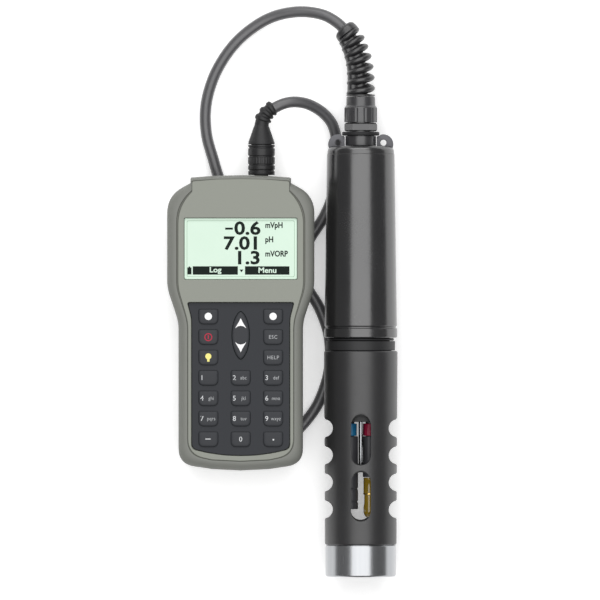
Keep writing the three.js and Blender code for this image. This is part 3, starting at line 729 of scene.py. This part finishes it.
def bite_side(side):
    """A prism whose inner edge follows the bites: circles of BITE_R joined to the sleeve's outside by
    a fillet, which is x = LAND_X + sqrt(r^2 - t^2) at the distance t from the fillet's centre."""
    rows = np.linspace(BITE_Y + 9, BITE_Y + BITE_PITCH * (BITE_COUNT - 1) - 9, 420)
    centres = BITE_Y + BITE_PITCH * np.arange(BITE_COUNT)
    off = np.abs(rows[:, None] - centres).min(axis=1)
    arc = BITE_X - np.sqrt(np.maximum(BITE_R**2 - off**2, 0))
    meet = np.sqrt(BITE_R**2 - (BITE_X - LAND_X) ** 2)
    fillet = LAND_X + np.sqrt(np.maximum(LAND_FILLET**2 - (meet + LAND_FILLET - off) ** 2, 0))
    edge = np.where(off < meet, arc, np.where(off < meet + LAND_FILLET, fillet, 24.2))
    outline = np.vstack([np.stack([edge, rows], axis=1), [(30, rows[-1]), (30, rows[0])]])
    return [on_probe(outline * (side, 1), z) for z in (-26, 26)]


def filled(low, high):
    """A closed prism between two equal outlines, its flat ends triangulated."""
    points, faces = skin(np.array([low, high]), caps=False)
    flat = [Vector(point) for point in low]
    ends = tessellate_polygon([flat])
    count = len(low)
    return points, faces + [list(t) for t in ends] + [[n + count for n in t] for t in ends]


def stadium(half_width, half_length, steps=14):
    """An outline of two half circles joined by straight sides, the long way along y."""
    turn_by = np.linspace(0, np.pi, steps)
    cap = np.stack([half_width * np.cos(turn_by), half_width * np.sin(turn_by)], axis=1)
    straight = np.array([0, half_length - half_width])
    return np.vstack([cap + straight, -cap - straight])


def slot_cutter(y, side):
    """A stadium plug through one face that widens near the surface, which breaks the slot's edge."""
    rings = []
    for z, grow in ((8.0, 0.0), (21.7, 0.0), (22.3, 0.35), (23.2, 1.7), (26.0, 5.4)):
        rings.append(on_probe(stadium(SLOT_HALF + grow, SLOT_LENGTH / 2 + grow) + (0, y), side * z))
    return skin(np.array(rings))


def carve(piece, cutters, crease=38.0):
    """Cuts closed solids (points in millimetres, faces) out of a piece, with an exact Boolean."""
    tools = []
    for at, (points, faces) in enumerate(cutters):
        mesh = bpy.data.meshes.new("cutter")
        mesh.from_pydata((np.asarray(points) * MM).tolist(), [], faces)
        welded(mesh)
        cutter = bpy.data.objects.new("cutter", mesh)
        bpy.context.scene.collection.objects.link(cutter)
        cut = piece.modifiers.new(f"cut_{at}", "BOOLEAN")
        cut.operation, cut.solver, cut.object = "DIFFERENCE", "EXACT", cutter
        tools.append(cutter)
    shaped = piece.evaluated_get(bpy.context.evaluated_depsgraph_get())
    whole, piece_mesh = piece.data, bpy.data.meshes.new_from_object(shaped)
    piece.modifiers.clear()
    piece.data = piece_mesh
    bpy.data.meshes.remove(whole)
    for cutter in tools:
        bpy.data.objects.remove(cutter)
    piece_mesh.shade_smooth()
    piece_mesh.set_sharp_from_angle(angle=np.radians(crease))


guard_rows = np.linspace(GUARD_TOP - 1.2, GUARD_END + 1.0, 40)
guard_outer = 23.2 - 0.6 * guard_rows / GUARD_END
guard_profile = np.vstack([
    [(GUARD_BORE, GUARD_TOP), (22.4, GUARD_TOP), (22.8, GUARD_TOP - 0.25), (23.1, GUARD_TOP - 0.7)],
    np.stack([guard_outer, guard_rows], axis=1),
    [(22.5, GUARD_END + 0.4), (22.2, GUARD_END + 0.1), (21.9, GUARD_END), (GUARD_BORE, GUARD_END)],
    np.stack([np.full(12, GUARD_BORE), np.linspace(GUARD_END + 9, GUARD_TOP - 9, 12)], axis=1),
])
guard = turned_piece(
    "guard_tube", "guard_sleeve", "black_plastic", "guard", guard_finish,
    guard_profile, PROBE_AXIS, 160,
)
slot_cuts = [slot_cutter(y, side) for y in SLOT_YS for side in (1, -1)]
carve(guard, [filled(*bite_side(1)), filled(*bite_side(-1)), *slot_cuts])

# The weight at its end is a turned stainless ring, its end corner broken and its stem inside the
# sleeve; the light and dark streaks along its axis are painted reflection bands in the steel's colour.
weight_profile = rounded([
    (18.2, -139.7, 0), (21.6, -139.7, 0), (22.3, -138.9, 0.3), (22.3, -120.3, 0.3),
    (21.9, -119.9, 0), (19.5, -119.9, 0), (19.5, -113.0, 0.3), (18.2, -113.0, 0),
])
turned_piece(
    "steel_weight", "guard_ring", "steel", "guard_weight_ring", steel_finish,
    weight_profile, PROBE_AXIS, 192,
)


# ---------------------------------------------------------------- Meter case
# Two moulded shells of warm grey plastic with a gasket between them. A softer band wraps the front
# shell's shoulder outside a groove, and the top carries a squared collar over the sockets.
front_box, back_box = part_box("meter_front_shell"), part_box("meter_back_shell")
METER_X = (front_box[0][0] + front_box[1][0]) / 2 / MM
METER_Y = (front_box[0][1] + front_box[1][1]) / 2 / MM
METER_Z = back_box[0][2] / MM
CASE_TOP, HEAD_HALF, GRIP_HALF, COLLAR_HALF = 93.1, 46.4, 39.25, 31.7
FACE_Z, SEAM_Z, WALL, FLOOR_Z = 35.0, (15.6, 16.8), 2.6, 4.5
case_finish = moulded("case_plastic", (0.245, 0.256, 0.222), 0.5, 1000.0, 0.00003, 0.03)
band_finish = moulded("case_band", (0.185, 0.19, 0.172), 0.55, 1100.0, 0.00004, 0.04)
# The groove between the band and the face is coloured darker than the case: painted shade in the crease.
painted_groove_shade = moulded("case_groove_painted_shade", (0.13, 0.134, 0.116), 0.6, 1100.0, 0.00003, 0.04)


def mirrored(right):
    """A closed outline from its right half, which runs from the top centre to the bottom centre."""
    return right + [(-x, y, reach) for x, y, reach in right[-2:0:-1]]


def case_outline(inset):
    """The case's outline drawn in by an inset. The collar draws in less, so its edges stay crisp, and
    so do the grip and foot past the band, which keeps the face clear of the keypad's opening."""
    top = CASE_TOP - 0.36 * inset
    low = min(inset, 5.4 + 0.45 * (inset - 5.4))
    foot = CASE_TOP - low
    head, grip, collar = HEAD_HALF - inset, GRIP_HALF - low, COLLAR_HALF - 0.16 * inset
    return rounded(mirrored([
        (0, top, 0), (16, top - 0.4, 0), (collar, top - 1.5, 1),
        (collar, CASE_TOP - 5 - 0.78 * inset, 0), (head, CASE_TOP - 13 - inset, 11),
        (head, 22, 5), (grip, 0.5, 5), (grip, 4.1 - foot, 10), (18, 0.9 - foot, 0), (0, -foot, 0),
    ]), 9)


def on_case(flat, z):
    """Points (x, y) of the case's own axes at a height z, in place."""
    return np.column_stack([METER_X + flat[:, 0], METER_Y + flat[:, 1], np.full(len(flat), METER_Z + z)])


def levelled(outline, levels):
    """Rings of an outline function at (inset, height) levels, in place on the table."""
    return np.array([on_case(outline(inset), z) for inset, z in levels])


def rounded_box(left, right, low, high, reach):
    """Corners of a rectangle with one reach of rounding."""
    return [(left, low, reach), (right, low, reach), (right, high, reach), (left, high, reach)]


WINDOW_HALF, WINDOW_TALL, WINDOW_Y = 35.7, 19.5, 46.7
LEDGE_Z, ROOF_Z = 31.0, 30.0


def window_outline(inset):
    """The display's opening: a rectangle with small corners."""
    half, tall = WINDOW_HALF - inset, WINDOW_TALL - inset
    return rounded(rounded_box(-half, half, WINDOW_Y - tall, WINDOW_Y + tall, 1.2), 6)


def keypad_outline(inset):
    """The keypad's opening: wider at its top corners, with a foot that follows the case's."""
    return rounded(mirrored([
        (0, 13.1 - inset, 0), (33.9 - inset, 13.1 - inset, 2), (31.2 - inset, 3.05, 3),
        (31.2 - inset, inset - 79.6, 3.5), (21, inset - 82.0, 2), (10, inset - 83.6, 4),
        (0, inset - 83.9, 0),
    ]), 6)


def flat_with_holes(outer, holes):
    """A flat sheet between one ring of points and the hole rings in it, triangulated."""
    loops = [outer, *holes]
    faces = tessellate_polygon([[Vector(point) for point in loop] for loop in loops])
    return np.vstack(loops), [list(face) for face in faces]


shoulder = np.radians(np.linspace(0, 90, 12))
skirt_levels = [(0.5, SEAM_Z[1]), (0.12, 17.1), (0.0, 17.8), (0.0, 29.0)]
band_levels = skirt_levels + [(5.4 * (1 - np.cos(a)), 29 + 6 * np.sin(a)) for a in shoulder[1:]]
band_rings = levelled(case_outline, band_levels + [(5.75, 34.93)])
groove_levels = [(5.75, 34.93), (6.0, 34.6), (6.15, 34.3), (6.7, 34.3), (6.85, 34.6), (7.05, 34.9)]
groove_rings = levelled(case_outline, groove_levels)
face_rings = levelled(case_outline, [(7.05, 34.9), (7.3, 35.0), (7.7, 35.0), (8.1, 35.0)])
for rings in (band_rings, groove_rings, face_rings):
    x, y = rings[..., 0] - METER_X, rings[..., 1] - METER_Y
    on_collar = np.clip((y - 74) / 4, 0, 1) * np.clip((30.5 - np.abs(x)) / 3, 0, 1)
    sunk = METER_Z + FACE_Z - rings[..., 2]
    rings[..., 2] += np.where(sunk < 0.8, sunk * on_collar, 0)

RIM = [(-0.5, 35.0), (-0.35, 35.0), (-0.12, 34.92), (0.0, 34.7)]
rim_down = RIM + [(0.0, LEDGE_Z), (2.0, LEDGE_Z), (2.0, ROOF_Z)]
window_rim = levelled(window_outline, rim_down)
keypad_rim = levelled(keypad_outline, rim_down)
front_face = flat_with_holes(face_rings[-1], [window_rim[0], keypad_rim[0]])
cavity_rings = levelled(case_outline, [(0.5, SEAM_Z[1]), (2.9, SEAM_Z[1]), (WALL, 24.0), (3.4, ROOF_Z)])
front_roof = flat_with_holes(cavity_rings[-1], [window_rim[-1], keypad_rim[-1]])
front_shell = make_piece("case_front", "instrument", [
    (*skin(face_rings, caps=False), case_finish),
    (*skin(band_rings, caps=False), band_finish),
    (*skin(groove_rings, caps=False), painted_groove_shade),
    (*front_face, case_finish),
    (*skin(window_rim, caps=False), case_finish),
    (*skin(keypad_rim, caps=False), case_finish),
    (*skin(cavity_rings, caps=False), case_finish),
    (*front_roof, case_finish),
], ["meter_front_shell"])

turn_in = np.radians(np.linspace(0, 90, 10))
back_levels = [(6.9, 0.0), (6.3, 0.0)] + [(6 * (1 - np.sin(a)), 8 * (1 - np.cos(a))) for a in turn_in]
back_levels += [(0.0, 14.9), (0.12, 15.3), (0.5, SEAM_Z[0])]
back_levels += [(WALL, SEAM_Z[0]), (WALL, 8.0), (3.6, FLOOR_Z), (4.2, FLOOR_Z)]
back_parts = dressed(band_finish, skin(levelled(case_outline, back_levels)))
back_shell = make_piece("case_back", "instrument", back_parts, ["meter_back_shell"])

SOCKET_U, SOCKET_Z = 13.0, 12.6
USB_U, USB_Z = -20.0, 9.0
SCREW_SPOTS = [(38, 70), (-38, 70), (29.5, -82.5), (-29.5, -82.5)]
COVER_HALF, COVER_Y = 32.0, (-75.0, -14.0)


def block(x, y, z):
    """A closed box between pairs of limits on the case's own axes."""
    flat = np.array([(x[0], y[0]), (x[1], y[0]), (x[1], y[1]), (x[0], y[1])], float)
    return skin(np.array([on_case(flat, level) for level in z]))


def rod(radius, y_limits, x, z, segments=48):
    """A closed rod along y at (x, z) of the case's own axes."""
    low, high = y_limits[0] + METER_Y, y_limits[1] + METER_Y
    profile = np.array([(0, low), (radius, low), (radius, high), (0, high)])
    return turned(profile, (METER_X + x, METER_Z + z), segments)


def upright(profile, x, y, segments=48):
    """A turned surface stood on end: its (radius, z) profile turns about z at (x, y) of the case."""
    points, faces = turned(profile, (0.0, 0.0), segments)
    return points[:, [0, 2, 1]] + (METER_X + x, METER_Y + y, METER_Z), faces


port_cuts = [
    rod(7.7, (84, 97), SOCKET_U, SOCKET_Z),
    block((USB_U - 4.8, USB_U + 4.8), (84, 92), (USB_Z - 2.4, USB_Z + 2.4)),
    block((USB_U - 6.5, USB_U + 6.5), (90.9, 96), (USB_Z - 3.4, USB_Z + 3.4)),
]
carve(front_shell, port_cuts[:1])
SCREW_PIT = np.array([(0, -1), (3.3, -1), (3.1, 0.2), (3.1, 4), (0, 4)])
screw_cuts = [upright(SCREW_PIT, x, y, 32) for x, y in SCREW_SPOTS]
cover_cuts = [
    block((-COVER_HALF, COVER_HALF), COVER_Y, (-1, 3)),
    block((-29.6, 29.6), (-70.6, -18.4), (2, 5)),
]
carve(back_shell, [*port_cuts, *screw_cuts, *cover_cuts])

gasket_finish = moulded("gasket_rubber", (0.03, 0.03, 0.031), 0.6, 1500.0, 0.00003, 0.1)
for node in ("case_gasket", "battery_cover_gasket"):
    refinish(node, gasket_finish)
refinish("main_circuit_board", board_green)

COVER_GAP = 0.35


def cover_shape(inset):
    """The lid's outline: the bay's mouth drawn in by a gap and an inset, its corners rounded."""
    half, low, high = COVER_HALF - COVER_GAP, COVER_Y[0] + COVER_GAP, COVER_Y[1] - COVER_GAP
    return rounded(rounded_box(inset - half, half - inset, low + inset, high - inset, 1.2), 5)


cover_levels = [(1.0, 0.25), (0.6, 0.25), (0.15, 0.33), (0.0, 0.6), (0.0, 1.9)]
cover_parts = dressed(band_finish, skin(levelled(cover_shape, cover_levels)))
battery_cover = make_piece("battery_lid", "instrument", cover_parts, ["battery_cover"])
GRIP_LINES = 5
finger_cuts = [block((-12, 12), (-23, -18), (-0.5, 0.95))]
for y in -27.4 - 2.4 * np.arange(GRIP_LINES):
    finger_cuts.append(block((-9, 9), (y, y + 1.0), (-0.5, 0.65)))
carve(battery_cover, finger_cuts)

for number, (x, y) in enumerate(SCREW_SPOTS, 1):
    head = rounded([
        (0, 1.9, 0), (1.9, 1.75, 0.3), (2.7, 2.3, 0.4), (2.7, 3.6, 0), (1.35, 3.6, 0),
        (1.35, 24.8, 0), (0, 24.8, 0),
    ])
    screw_parts = dressed(steel_finish, upright(head, x, y))
    screw = make_piece(f"screw_{number}", "instrument", screw_parts, [f"case_screw_{number}"])
    cross = [((x - 1.5, x + 1.5), (y - 0.3, y + 0.3)), ((x - 0.3, x + 0.3), (y - 1.5, y + 1.5))]
    carve(screw, [block(*limits, (1.0, 2.9)) for limits in cross])


# ---------------------------------------------------------------- Sockets and port cap
# The plug's socket is a black moulded barrel set in the collar; beside it a soft cap plugs the
# metal USB port, with a tab to pull it by.
socket_finish = moulded("socket_plastic", (0.02, 0.02, 0.021), 0.4, 1500.0, 0.00002, 0.08)
refinish("probe_socket", socket_finish)
refinish("usb_socket", steel_finish)


def port_slab(half_x, half_z, levels):
    """A slab whose rounded outline lies in x and z, with (inset, y) levels along the case."""
    rings = []
    for inset, y in levels:
        x, z = half_x - inset, half_z - inset
        flat = rounded(rounded_box(-x, x, -z, z, 1.2), 5)
        rings.append(np.stack([
            METER_X + USB_U + flat[:, 0],
            np.full(len(flat), METER_Y + y),
            METER_Z + USB_Z + flat[:, 1],
        ], axis=1))
    return skin(np.array(rings))


lid_levels = [(0.1, 91.2), (0.0, 91.3), (0.0, 91.7), (0.15, 91.93), (0.5, 92.0), (1.0, 92.0)]
make_piece("port_plug", "usb_cap", dressed(
    gasket_finish,
    port_slab(6.2, 3.1, lid_levels),
    port_slab(3.8, 1.6, [(0.2, 86.5), (0.0, 86.8), (0.0, 91.3)]),
), ["usb_port_cap"])


# ---------------------------------------------------------------- Display
# A liquid-crystal panel behind a clear window let into the face. The window shows the panel's pale
# mint ground, a fine frame line, three readings with their units and two soft-key labels.
GLASS_TOP = 33.6
mint_finish = Finish("display_mint", Specular_IOR_Level=0.15, Coat_Weight=0.12, Coat_Roughness=0.05)
mint_cloud = mint_finish.noise(60.0, 3.0)
mint_mesh = mint_finish.noise(2600.0, 1.0)
mint_finish.set(
    Base_Color=mint_finish.mix(mint_cloud, (0.6, 0.755, 0.63, 1.0), (0.64, 0.79, 0.67, 1.0)),
    Roughness=0.3 + mint_mesh * 0.12,
)
edge_finish = moulded("display_border", (0.36, 0.5, 0.38), 0.35, 1200.0, 0.00001, 0.03, 0.1)
ink_finish = moulded("display_ink", (0.006, 0.012, 0.009), 0.4, 1500.0, 0.00001, 0.1, 0.08)
window_levels = [(0.3, 31.3), (0.2, 31.5), (0.2, 33.35), (0.45, GLASS_TOP)]
frame_inner = levelled(window_outline, [(0.45, GLASS_TOP), (1.7, GLASS_TOP)])
pane = levelled(window_outline, [(2.05, GLASS_TOP), (2.4, GLASS_TOP)])
line = levelled(window_outline, [(1.7, GLASS_TOP), (2.05, GLASS_TOP)])
make_piece("display_pane", "instrument", [
    (*skin(levelled(window_outline, window_levels), caps=False), mint_finish),
    (*flat_with_holes(levelled(window_outline, [(0.3, 31.3)])[0], []), mint_finish),
    (*skin(frame_inner, caps=False), mint_finish),
    (*skin(line, caps=False), edge_finish),
    (*skin(pane, caps=False), mint_finish),
    (*flat_with_holes(pane[-1], []), mint_finish),
], ["display_window"])
lcd_finish = moulded("display_panel", (0.6, 0.72, 0.62), 0.25, 900.0, 0.00001, 0.03)
refinish("lcd_panel", lcd_finish)


def printed(words, size, x, y, z, align="CENTER", weight=0.0, squeeze=1.0, spacing=1.0, thick=0.03):
    """Words as a thin closed mesh: letters of a plain face, made heavier by weight, scaled across
    by squeeze, set apart by spacing, with their middle height at (x, y, z) of the case."""
    text = bpy.data.curves.new("words", "FONT")
    text.body, text.size, text.offset = words, size, weight
    text.extrude, text.resolution_u = thick / 2, 3
    text.align_x, text.align_y = align, "CENTER"
    text.space_character = spacing
    holder = bpy.data.objects.new("words", text)
    bpy.context.scene.collection.objects.link(holder)
    mesh = bpy.data.meshes.new_from_object(holder.evaluated_get(bpy.context.evaluated_depsgraph_get()))
    points = np.empty(len(mesh.vertices) * 3)
    mesh.vertices.foreach_get("co", points)
    faces = [list(face.vertices) for face in mesh.polygons]
    bpy.data.objects.remove(holder)
    bpy.data.curves.remove(text)
    bpy.data.meshes.remove(mesh)
    points = points.reshape(-1, 3) * (squeeze, 1, 1)
    return points + (METER_X + x, METER_Y + y, METER_Z + z), faces


def stamped(outline, z, thick=0.04):
    """A thin closed plate of an outline (x, y) whose middle height is z, on the case's own axes."""
    flat = np.asarray(outline, float)
    return filled(on_case(flat, z - thick / 2), on_case(flat, z + thick / 2))


def plate(x, y, z):
    """A stamped rectangle between pairs of limits in x and y."""
    return stamped([(x[0], y[0]), (x[1], y[0]), (x[1], y[1]), (x[0], y[1])], z)


INK_Z = GLASS_TOP + 0.01
READINGS = (("0.6", 59.2), ("7.01", 49.8), ("1.3", 40.6))
UNITS = (("mVpH", 61.4), ("pH", 52.4), ("mVORP", 43.4))
reading_ink = [printed(words, 11.4, 12.6, y, INK_Z, "RIGHT", 0.33, 1.2) for words, y in READINGS]
unit_ink = [printed(words, 5.0, 15.4, y, INK_Z, "LEFT", 0.16, 0.86) for words, y in UNITS]
BAR_Y, BAR_HALF = 33.0, 2.65
bars = [plate(x, (BAR_Y - BAR_HALF, BAR_Y + BAR_HALF), INK_Z) for x in ((-30.2, -1.8), (2.7, 30.7))]
pointer = stamped([(-0.7, 33.6), (0.5, 31.8), (1.7, 33.6)], INK_Z)
cell_mark = stamped([
    (-33.6, 30.5), (-31.0, 30.5), (-31.0, 34.9), (-31.8, 34.9), (-31.8, 35.5), (-32.8, 35.5),
    (-32.8, 34.9), (-33.6, 34.9),
], INK_Z)
minus = plate((-9.8, -4.9), (58.7, 60.0), INK_Z)
ink = dressed(ink_finish, minus, *reading_ink, *unit_ink, *bars, pointer, cell_mark)
make_piece("display_ink", "instrument", ink)
make_piece("display_labels", "instrument", dressed(
    mint_finish,
    printed("Log", 4.7, -16.0, BAR_Y + 0.3, INK_Z + 0.04, "CENTER", 0.12, 1.1),
    printed("Menu", 4.7, 16.8, BAR_Y, INK_Z + 0.04, "CENTER", 0.12, 1.1),
))


# ---------------------------------------------------------------- Keypad mat, keys and rocker
# A charcoal silicone mat with eighteen low keys and an almond-shaped rocker that stand through it.
# The legends are screen printed: white and grey, a red power mark and a yellow lamp.
mat_finish = moulded("keypad_silicone", (0.036, 0.038, 0.043), 0.6, 1200.0, 0.00003, 0.06, 0.15)
key_finish = moulded("key_silicone", (0.036, 0.038, 0.043), 0.5, 1200.0, 0.00003, 0.06, 0.2)
white_ink = moulded("white_print", (0.88, 0.88, 0.88), 0.5, 1500.0, 0.00001, 0.02, 0.1)
light_ink = moulded("light_print", (0.62, 0.63, 0.64), 0.5, 1500.0, 0.00001, 0.02, 0.1)
grey_ink = moulded("grey_print", (0.42, 0.43, 0.44), 0.5, 1500.0, 0.00001, 0.03, 0.1)
red_ink = moulded("red_print", (0.45, 0.03, 0.06), 0.5, 1500.0, 0.00001, 0.05, 0.1)
yellow_ink = moulded("yellow_print", (0.85, 0.78, 0.25), 0.5, 1500.0, 0.00001, 0.04, 0.1)
MAT_Z, KEY_TOP = (31.3, 33.4), 34.6
KEY_HALF = (6.2, 4.75)
COLUMNS = (-20.4, 0.0, 20.4)
ROWS = (3.9, -9.0, -21.9, -34.7, -47.6, -60.4, -73.4)
ROCKER_Y, ROCKER_HALF = -7.9, (5.5, 14.9)


def key_outline(x, y):
    """An outline function of one key: a rectangle with small top and fuller bottom corners."""
    def outline(inset):
        half, tall = KEY_HALF[0] - inset, KEY_HALF[1] - inset
        top = max(1.6 - 0.4 * inset, 0.3)
        foot = max(3.6 - 0.8 * inset, 0.4)
        return rounded([
            (x - half, y - tall, foot), (x + half, y - tall, foot), (x + half, y + tall, top),
            (x - half, y + tall, top),
        ], 6)
    return outline


def rocker_outline(inset):
    """An almond: two arcs that meet in blunt points, x = half (1 - t^2)^0.62 at y = tall t."""
    t = np.sin(np.linspace(-np.pi / 2, np.pi / 2, 25))
    half, tall = ROCKER_HALF[0] - inset, ROCKER_HALF[1] - 1.4 * inset
    side = half * (1 - t * t) ** 0.62
    right = np.stack([side, ROCKER_Y + tall * t], axis=1)
    left = np.stack([-side[-2:0:-1], ROCKER_Y + tall * t[-2:0:-1]], axis=1)
    return np.vstack([right, left])


KEYS = [
    ("soft_key_left", 0, 0), ("soft_key_right", 2, 0), ("power_key", 0, 1), ("escape_key", 2, 1),
    ("light_key", 0, 2), ("help_key", 2, 2),
    *((f"key_{k + 1}", k % 3, 3 + k // 3) for k in range(9)),
    ("key_minus", 0, 6), ("key_0", 1, 6), ("key_point", 2, 6),
]
hole_levels = [(-0.12, MAT_Z[1]), (-0.06, MAT_Z[1] - 0.12), (-0.06, MAT_Z[0])]
holes = [levelled(key_outline(COLUMNS[c], ROWS[r]), hole_levels) for _, c, r in KEYS]
holes.append(levelled(rocker_outline, [(inset - 0.2, level) for inset, level in hole_levels]))
mat_rings = levelled(keypad_outline, [(0.35, MAT_Z[0]), (0.35, 33.0), (0.6, MAT_Z[1]), (0.9, MAT_Z[1])])
make_piece("keypad_sheet", "instrument", dressed(
    mat_finish,
    skin(mat_rings, caps=False),
    flat_with_holes(mat_rings[-1], [rings[0] for rings in holes]),
    flat_with_holes(mat_rings[0], [rings[-1] for rings in holes]),
    *(skin(rings, caps=False) for rings in holes),
), ["keypad_mat"])

LETTERS = {2: "abc", 3: "def", 4: "ghi", 5: "jkl", 6: "mno", 7: "pqrs", 8: "tuv", 9: "wxyz"}
PRINT_Z = KEY_TOP + 0.015
circle = np.linspace(0, 2 * np.pi, 40, endpoint=False)
round_dot = np.stack([np.cos(circle), np.sin(circle)], axis=1)


def ring_mark(x, y, outer, inner):
    """A printed ring: two circles on each of two levels, joined round."""
    low, high = PRINT_Z - 0.02, PRINT_Z + 0.02
    loops = [(outer, low), (outer, high), (inner, high), (inner, low), (outer, low)]
    return skin(np.array([on_case(round_dot * radius + (x, y), z) for radius, z in loops]), caps=False)


KEY_CROWN = [(0.0, 24.0), (0.0, 33.6), (0.13, 33.95), (0.4, 34.2), (0.9, 34.42), (1.7, 34.55)]
KEY_CROWN += [(2.6, KEY_TOP)]


def settled(part, x, y):
    """Lays a key's print on its crown: each point drops by the crown's fall at its inset, which is
    its distance from the nearest side of the key at (x, y)."""
    points, faces, ink = part
    off = np.abs(points[:, :2] - (METER_X + x, METER_Y + y))
    inset = (np.array(KEY_HALF) - off).min(axis=1)
    level = np.interp(inset, [inset for inset, _ in KEY_CROWN[1:]], [z for _, z in KEY_CROWN[1:]])
    points = points.copy()
    points[:, 2] += level - KEY_TOP
    return points, faces, ink


def legend(name, x, y):
    """The printed parts of one key, each with its ink."""
    if name.startswith("soft"):
        return dressed(white_ink, stamped(round_dot * 2.3 + (x, y + 0.2), PRINT_Z))
    if name == "power_key":
        bar = plate((x - 0.35, x + 0.35), (y - 1.2, y + 1.3), PRINT_Z)
        return dressed(red_ink, ring_mark(x, y, 2.5, 1.9), bar)
    if name == "light_key":
        glow = stamped(round_dot * 1.9 + (x, y + 0.8), PRINT_Z)
        cap = plate((x - 0.75, x + 0.75), (y - 2.5, y - 0.9), PRINT_Z)
        return dressed(yellow_ink, glow, cap)
    if name in ("escape_key", "help_key"):
        words = "ESC" if name == "escape_key" else "HELP"
        return dressed(grey_ink, printed(words, 3.3, x, y, PRINT_Z, "CENTER", 0.0, 0.95, 1.12))
    if name == "key_minus":
        return dressed(light_ink, plate((x - 1.9, x + 1.5), (y - 0.05, y + 0.5), PRINT_Z))
    if name == "key_point":
        return dressed(light_ink, stamped(round_dot * 0.55 + (x + 0.2, y - 0.2), PRINT_Z))
    digit = int(name[-1])
    left = 4.0 if digit else 0.0
    marks = dressed(light_ink, printed(str(digit), 4.4, x - left, y, PRINT_Z, "CENTER", 0.01))
    if digit in LETTERS:
        letters = printed(LETTERS[digit], 3.2, x + 1.8, y, PRINT_Z, "CENTER", 0.0, 0.88, 1.08)
        marks += dressed(grey_ink, letters)
    return marks


for name, column, row in KEYS:
    x, y = COLUMNS[column], ROWS[row]
    make_piece(f"{name}_pad", f"{name}_cap", [
        (*skin(levelled(key_outline(x, y), KEY_CROWN)), key_finish),
        *(settled(part, x, y) for part in legend(name, x, y)),
    ], [name])

rocker_levels = [(0.6, 26.0), (0.5, 32.0), (0.15, 33.2), (0.0, 33.7), (0.12, 34.05), (0.4, 34.3)]
rocker_levels += [(0.9, 34.5), (1.6, KEY_TOP), (2.0, KEY_TOP)]
ARROW = np.array([
    (0, 3.3), (1.1, 1.0), (3.6, -3.1), (1.9, -1.9), (0, -1.5), (-1.9, -1.9), (-3.6, -3.1), (-1.1, 1.0),
])
up_arrow = ARROW * (0.98, 1) + (0, ROCKER_Y + 7.6)
down_arrow = ARROW * (0.98, -1) + (0, ROCKER_Y - 7.3)
make_piece("rocker_pad", "arrow_rocker", [
    (*skin(levelled(rocker_outline, rocker_levels)), key_finish),
    *dressed(white_ink, stamped(up_arrow, PRINT_Z), stamped(down_arrow[::-1], PRINT_Z)),
], ["arrow_rocker_key"])


# ---------------------------------------------------------------- Batteries
# Four AA cells lie side by side in the bay, nose to tail: a printed steel can with a bare rim at
# each end, a crimped shoulder and a nub.
can_finish = moulded("cell_sleeve", (0.05, 0.07, 0.2), 0.3, 900.0, 0.00001, 0.05)
CAN = np.array([
    (0, -24.5), (5.2, -24.5), (5.4, -24.3), (6.6, -24.3), (7.0, -23.8), (7.05, -23.0), (7.05, 22.6),
    (6.9, 23.2), (6.3, 23.9), (5.6, 24.2), (2.7, 24.2), (2.6, 24.5), (2.6, 25.5), (2.3, 25.8), (0, 25.8),
])
BAY_Y = METER_Y + sum(COVER_Y) / 2
for number in range(1, 5):
    middle = centre_of(f"battery_{number}")
    can = CAN * (1, 1 if number % 2 else -1) + (0, BAY_Y)
    turned_piece(
        f"cell_{number}", "instrument", "battery", f"battery_{number}", can_finish,
        can, (middle[0], middle[2]), 40,
    )
